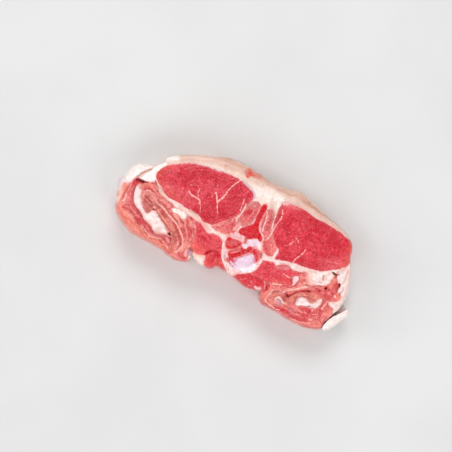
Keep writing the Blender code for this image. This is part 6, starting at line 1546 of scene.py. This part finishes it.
def tissue_material(name, slot, body, light, deep, fleck, stringy, skin):
    """The material of one piece. fleck is how much of the lighter tint shows in specks, stringy how much of it runs in
    strands, and skin how strongly the outer side turns to the beige of the dried outer fat."""
    tint = {key: linear(value) for key, value in TINTS[slot].items()}
    g = Graph(name)
    lean, eye, bony = slot.startswith("lean"), slot == "lean_eye", slot in ("bone", "cartilage")
    fibre = g.place((1.0, 1.0, 0.16) if lean else (1.0, 1.0, 1.0))
    plain = g.place((1.0, 1.0, 1.0))
    broad = g.noise(plain, 0.11, 4.0, 0.6)
    mottle = g.noise(fibre, 0.42, 4.0, 0.62, 0.3)
    speck = g.noise(fibre, 1.05, 3.0, 0.6, 0.4)
    dots = g.noise(fibre, 1.55, 1.0, 0.5, 1.1)
    grain = g.noise(fibre, 3.4, 2.0, 0.5)
    strand = g.mask("strand")

    # Ground: patches of the deeper shade, and specks of the lighter one that come in swarms
    colour = g.mix(g.between(mottle, 0.36, 0.60, 0.0 if lean else 0.5), linear(deep), linear(body))
    colour = g.mix(g.math("MULTIPLY", g.between(broad, 0.42, 0.66), 0.28), colour, linear(light))
    swarm = g.math("ADD", speck, g.math("MULTIPLY", g.math("SUBTRACT", broad, 0.5), 0.45))
    colour = g.mix(g.math("MULTIPLY", g.between(swarm, 0.50, 0.62), fleck), colour, linear(light))
    if lean:
        crumbs = g.math("ADD", dots, g.math("MULTIPLY", g.math("SUBTRACT", mottle, 0.5), 0.30))
        colour = g.mix(g.math("MULTIPLY", g.between(crumbs, 0.61, 0.70), min(1.0, (1.15 if eye else 1.4) * fleck)), colour, tint["crumb"])
        gaps = g.between(dots, 0.42, 0.32)
        colour = g.mix(g.math("MULTIPLY", gaps, 0.55 if eye else 0.40), colour, linear(tuple(0.86 * c for c in deep)))
        edges = g.cells(g.place((1.0, 1.0, 0.12)), 0.92, "DISTANCE_TO_EDGE")
        web = g.math("SUBTRACT", 1.0, g.between(edges, 0.02, 0.14))
        colour = g.mix(g.math("MULTIPLY", web, 0.30 * fleck), colour, linear(light))
    else:
        lobes = g.cells(plain, 0.55, "DISTANCE_TO_EDGE")
        web = g.math("SUBTRACT", 1.0, g.between(lobes, 0.0, 0.12))
        patchy = g.between(mottle, 0.40, 0.60, 0.05, 0.42)
        colour = g.mix(g.math("MULTIPLY", web, patchy), colour, linear(deep))
        pores = g.between(dots, 0.36, 0.28)
        colour = g.mix(g.math("MULTIPLY", pores, 0.45), colour, tint["deep"])
    colour = g.mix(g.math("MULTIPLY", g.between(strand, 0.10, 0.75), stringy), colour, linear(light))
    colour = g.mix(g.math("MULTIPLY", g.between(strand, -0.10, -0.75), stringy * 0.9), colour, linear(deep))

    # The outer side: dried fat on the back, thin pale skin over the meat on the belly side
    side = g.mask("side")
    if skin:
        band = g.math("MULTIPLY", g.mask("skin"), skin, clamp=True)
        beige = g.mix(g.between(strand, -0.5, 0.6), linear((197, 138, 118)), linear((227, 180, 157)))
        beige = g.mix(g.math("MULTIPLY", g.between(broad, 0.42, 0.66), 0.5), beige, linear((220, 164, 144)))
        beige = g.mix(g.math("MULTIPLY", side, g.between(broad, 0.40, 0.64, 0.10, 0.55)), beige, linear((244, 218, 200)))
        beige = g.mix(g.math("MULTIPLY", side, g.between(speck, 0.50, 0.66, 0.0, 0.35)), beige, linear((248, 228, 212)))
        colour = g.mix(band, colour, beige)
    elif not bony:
        colour = g.mix(g.math("MULTIPLY", side, g.between(mottle, 0.30, 0.66, 0.20, 0.50)), colour, tint["side"])
        film = g.noise(g.place((0.16, 0.16, 0.30)), 1.0, 5.0, 0.62, 0.3)
        colour = g.mix(g.math("MULTIPLY", side, g.between(film, 0.42, 0.66, 0.0, 0.48)), colour, tint["film"])

    # The masks, each with a ragged edge: narrow marks break up into crisp bits, and zones are patchy
    jitter = g.math("MULTIPLY_ADD", speck, 2.4, -0.2)
    spread = g.math("ADD", g.math("MULTIPLY", mottle, 1.7), g.math("MULTIPLY_ADD", speck, 1.1, -0.40))
    # The dark mask goes on last; where it follows a slit, a hole or a crease it is painted shade.
    order = (("border", 0.50 if lean else 0.62, "zone"), ("pale", 1.0, "zone"), ("warm", 1.0, "zone"), ("deep", 1.0, "zone"),
             ("grey", 1.0, "zone"), ("blood", 1.0, "zone"), ("vein", 1.0, "line"), ("dark", 1.0, "line"))
    for key, amount, kind in order:
        value = g.math("MULTIPLY", g.mask(key), jitter if kind == "line" else spread)
        if kind == "line":
            factor = g.between(value, *((0.22, 1.0) if key == "dark" else (0.16, 0.74)))
        else:
            factor = g.math("MULTIPLY", value, 1.3 if bony and key == "blood" else amount, clamp=True)
        colour = g.mix(factor, colour, tint[key])
        if key == "blood" and slot == "bone":
            granules = g.math("MULTIPLY", g.between(dots, 0.53, 0.64), g.math("MULTIPLY", g.mask(key), 0.60))
            colour = g.mix(granules, colour, linear((246, 96, 108)))
            pits = g.math("MULTIPLY", g.between(dots, 0.46, 0.34), g.math("MULTIPLY", g.mask(key), 0.75))
            colour = g.mix(pits, colour, linear((168, 0, 16)))
    if lean:
        sprinkle = g.between(g.noise(fibre, 1.35, 1.0, 0.5, 0.8), 0.60, 0.70)
        colour = g.mix(g.math("MULTIPLY", sprinkle, 0.55 * fleck), colour, tint["crumb"])
    cloud = g.math("ADD", g.math("MULTIPLY", mottle, 0.34), g.math("MULTIPLY_ADD", speck, 0.26, -0.30))
    fine = g.math("ADD", g.between(grain, 0.25, 0.75, 0.862, 1.105), cloud)
    shade = g.node("ShaderNodeCombineColor", Red=fine, Green=fine, Blue=fine).outputs[0]
    colour = g.mix(1.0, colour, shade, "MULTIPLY")
    if lean:
        colour = g.node("ShaderNodeHueSaturation", Saturation=1.015, Color=colour).outputs[0]
    g.put(g.shader.inputs["Base Color"], colour)

    wet = g.noise(plain, 0.30, 3.0, 0.6)
    low, high = {"fat": (0.32, 0.52), "bone": (0.28, 0.50), "cartilage": (0.22, 0.38)}.get(slot, (0.26, 0.46))
    rough = g.between(wet, 0.30, 0.70, low, high)
    g.put(g.shader.inputs["Roughness"], g.math("SUBTRACT", rough, g.math("MULTIPLY", g.mask("blood"), 0.08)))
    if lean:
        bundles = g.cells(g.place((1.0, 1.0, 0.12)), 0.92, "F1")
        height = g.math("ADD", g.math("MULTIPLY", bundles, -0.55), g.math("MULTIPLY", speck, 1.1))
        first = g.bump(height, 0.16, 0.9)
    else:
        height = g.math("ADD", g.math("MULTIPLY", lobes, 0.5), g.math("MULTIPLY", mottle, 0.9))
        height = g.math("ADD", height, g.math("MULTIPLY", speck, 0.35))
        first = g.bump(height, 0.13, 0.8)
    ridge = g.bump(strand, 0.16, 0.8, first)
    last = g.bump(grain, 0.045, 0.8, ridge)
    g.put(g.shader.inputs["Normal"], last)
    s = g.shader.inputs
    s["IOR"].default_value = 1.42
    s["Specular IOR Level"].default_value = 0.5
    s["Coat Weight"].default_value = 0.14
    s["Coat Roughness"].default_value = 0.16
    s["Subsurface Weight"].default_value = {"fat": 0.20, "bone": 0.10, "cartilage": 0.30}.get(slot, 0.08)
    s["Subsurface Radius"].default_value = (1.0, 0.45, 0.30) if not lean else (1.0, 0.22, 0.16)
    s["Subsurface Scale"].default_value = 0.0007
    return g.material


# Body, light and deep tints of each piece, then fleck, stringy and skin. All read off.
PAINTS = {
    "loin_eye_left": ((209, 34, 54), (240, 98, 110), (186, 18, 40), 0.55, 0.06, 0.0),
    "loin_eye_right": ((213, 30, 50), (240, 92, 104), (190, 16, 38), 0.52, 0.06, 0.0),
    "multifidus_left_inner": ((224, 74, 84), (246, 156, 152), (200, 58, 68), 0.50, 0.42, 0.0),
    "multifidus_right_inner": ((228, 98, 104), (250, 174, 170), (202, 70, 78), 0.50, 0.45, 0.0),
    "multifidus_left_outer": ((220, 64, 74), (246, 148, 144), (202, 48, 60), 0.58, 0.28, 0.0),
    "multifidus_right_outer": ((222, 66, 72), (246, 150, 144), (204, 52, 62), 0.58, 0.28, 0.0),
    "psoas_minor_left": ((232, 66, 74), (248, 132, 132), (206, 40, 52), 0.42, 0.30, 0.0),
    "psoas_minor_right": ((218, 28, 46), (238, 88, 100), (196, 20, 38), 0.42, 0.30, 0.0),
    "tenderloin_left": ((220, 48, 66), (246, 114, 122), (200, 30, 48), 0.46, 0.26, 0.0),
    "tenderloin_right": ((224, 46, 64), (246, 112, 122), (202, 30, 48), 0.46, 0.26, 0.0),
    "flap_left_outer": ((236, 118, 106), (252, 178, 160), (216, 86, 80), 0.36, 0.55, 0.0),
    "flap_left_middle": ((222, 86, 92), (246, 152, 150), (190, 48, 62), 0.36, 0.65, 0.0),
    "flap_left_inner": ((220, 104, 100), (246, 166, 154), (184, 66, 66), 0.38, 0.65, 0.0),
    "flap_left_upper": ((224, 98, 98), (250, 162, 154), (198, 60, 66), 0.38, 0.60, 0.0),
    "flap_right_upper": ((228, 104, 102), (250, 166, 156), (202, 66, 70), 0.38, 0.60, 0.0),
    "flap_right_inner": ((198, 80, 76), (236, 146, 134), (172, 56, 52), 0.38, 0.65, 0.0),
    "flap_right_outer": ((222, 88, 92), (248, 156, 148), (196, 50, 62), 0.38, 0.62, 0.0),
    "vertebra": ((244, 172, 170), (255, 220, 216), (226, 112, 118), 0.50, 0.15, 0.0),
    "cartilage_disc": ((238, 208, 226), (254, 238, 248), (222, 180, 204), 0.45, 0.12, 0.0),
    "fat_cover": ((250, 226, 214), (255, 244, 238), (242, 204, 188), 0.40, 0.30, 1.0),
    "fat_edge_left": ((252, 240, 236), (255, 252, 250), (240, 212, 206), 0.45, 0.26, 0.16),
    "fat_edge_right": ((248, 228, 224), (255, 248, 246), (232, 192, 186), 0.45, 0.30, 0.22),
    "fat_tab_right": ((250, 238, 234), (255, 250, 248), (236, 212, 206), 0.45, 0.24, 0.12),
    "fat_seam_left": ((250, 218, 210), (255, 242, 236), (238, 176, 172), 0.48, 0.34, 0.0),
    "fat_seam_right": ((252, 232, 227), (255, 244, 240), (238, 182, 178), 0.48, 0.34, 0.0),
    "fat_core_left": ((252, 230, 226), (255, 246, 242), (240, 198, 192), 0.42, 0.34, 0.0),
    "fat_nodule_left": ((250, 238, 228), (255, 248, 240), (242, 216, 200), 0.40, 0.14, 0.0),
    "fat_nodule_right": ((212, 124, 132), (238, 172, 174), (188, 98, 108), 0.40, 0.30, 0.0),
    "fat_lump_left": ((250, 230, 222), (255, 246, 240), (240, 198, 186), 0.42, 0.24, 0.0),
    "fat_chunk_right": ((253, 234, 231), (255, 246, 244), (238, 182, 180), 0.42, 0.24, 0.0),
    "fat_sliver_right": ((252, 226, 230), (255, 242, 242), (240, 182, 188), 0.40, 0.18, 0.0),
}


def lamp(name, place, aim, size, watts, colour=(1.0, 1.0, 1.0)):
    data = bpy.data.lights.new(name, "AREA")
    data.shape, data.size, data.size_y = "RECTANGLE", size[0], size[1]
    data.energy, data.color = watts, colour
    thing = bpy.data.objects.new(name, data)
    bpy.context.scene.collection.objects.link(thing)
    thing.location = place
    way = [a - p for a, p in zip(aim, place)]
    thing.rotation_mode = "QUATERNION"
    thing.rotation_quaternion = Vector(way).to_track_quat("-Z", "Y")
    return thing


def studio():
    """A pale floor, soft lamps and the camera."""
    scene = bpy.context.scene
    world = bpy.data.worlds.new("studio")
    world.use_nodes = True
    tree = world.node_tree
    tree.nodes["Background"].inputs[0].default_value = (1.0, 1.0, 1.0, 1.0)
    coords, split, fade = (tree.nodes.new("ShaderNode" + kind) for kind in ("TexCoord", "SeparateXYZ", "MapRange"))
    fade.interpolation_type = "SMOOTHSTEP"
    for key, value in (("From Min", 0.15), ("From Max", 0.60), ("To Min", HORIZON), ("To Max", AMBIENT)):
        fade.inputs[key].default_value = value
    tree.links.new(coords.outputs["Generated"], split.inputs[0])
    tree.links.new(split.outputs["Z"], fade.inputs["Value"])
    tree.links.new(fade.outputs[0], tree.nodes["Background"].inputs[1])
    scene.world = world
    scene.view_settings.view_transform = "Standard"
    scene.view_settings.look = "None"

    g = Graph("floor_plain")
    flat = g.place((1.0, 1.0, 1.0))
    tone = g.between(g.noise(flat, 0.01, 3.0, 0.5), 0.3, 0.7, 0.70, 0.74)
    g.put(g.shader.inputs["Base Color"], g.node("ShaderNodeCombineColor", Red=tone, Green=tone, Blue=tone).outputs[0])
    g.shader.inputs["Roughness"].default_value = 0.7
    away = g.node("ShaderNodeVectorMath", {"operation": "LENGTH"})
    g.put(away.inputs[0], g.node("ShaderNodeTexCoord").outputs["Object"])
    g.put(g.shader.inputs["Emission Color"], (1.0, 1.0, 1.0))
    g.put(g.shader.inputs["Emission Strength"], g.between(away.outputs["Value"], 1.2, 7.5, 0.0, 0.50))
    mesh = bpy.data.meshes.new("floor")
    r = 12.0
    mesh.from_pydata([(-r, -r, 0), (r, -r, 0), (r, r, 0), (-r, r, 0)], [], [(0, 1, 2, 3)])
    mesh.materials.append(g.material)
    floor = bpy.data.objects.new("floor", mesh)
    floor.location = (0, 0, -0.0002)
    scene.collection.objects.link(floor)

    for name, place, size, watts in LAMPS:
        lamp(name, place, (0.0, 0.0, 0.02), size, watts)

    camera = bpy.data.cameras.new("camera")
    camera.sensor_width = 36.0
    camera.lens = 73.4
    camera.clip_start, camera.clip_end = 0.01, 20.0
    thing = bpy.data.objects.new("camera", camera)
    scene.collection.objects.link(thing)
    thing.location = ((CENTRE[0] + MIDLINE[0]) * MM, (CENTRE[1] + MIDLINE[1]) * MM, (THICK + 560.0) * MM)
    thing.rotation_euler = (0.0, 0.0, math.radians(26.0))
    scene.camera = thing


HORIZON = 0.82
AMBIENT = 0.32
LAMPS = (
    ("lamp_back", (-0.75, 2.25, 2.55), (1.9, 1.4), 51.0),
    ("lamp_left", (-2.55, -0.45, 2.25), (1.5, 2.1), 31.0),
    ("lamp_right", (2.40, -1.05, 2.40), (1.5, 2.1), 31.0),
    ("lamp_front", (0.45, -2.55, 2.25), (2.1, 1.5), 26.0),
)

LOOKS = {}


def main():
    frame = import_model()
    for thing in list(bpy.data.objects):
        if thing.name in ("Cube", "Light", "Camera") and thing not in frame["nodes"].values():
            bpy.data.objects.remove(thing)
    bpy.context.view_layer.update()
    for name, outline, slot, rise, reach, rough in PIECES:
        LOOKS[name] = {"slot": slot, "rise": rise, "reach": reach, "rough": rough}
    LOOKS["fat_tab_right"] = {"slot": "fat", "rise": -1.0, "reach": 0.6, "rough": 0.12}
    for name, look in LOOKS.items():
        look["material"] = tissue_material(name, look["slot"], *PAINTS[name])
    edge = np.array(EDGE)[:, :2]
    low, high = edge.min(0) - 3, edge.max(0) + (9, 3)
    strands = strand_field((*low, *high))
    chop = Slice(EDGE, [row[1] for row in PIECES], NAMES, strands)
    for k, name in enumerate(NAMES):
        build_piece(name, chop, k)
    tab = Slice(TAB_EDGE, [], ["fat_tab_right"], strands)
    build_piece("fat_tab_right", tab, 0)
    studio()


main()
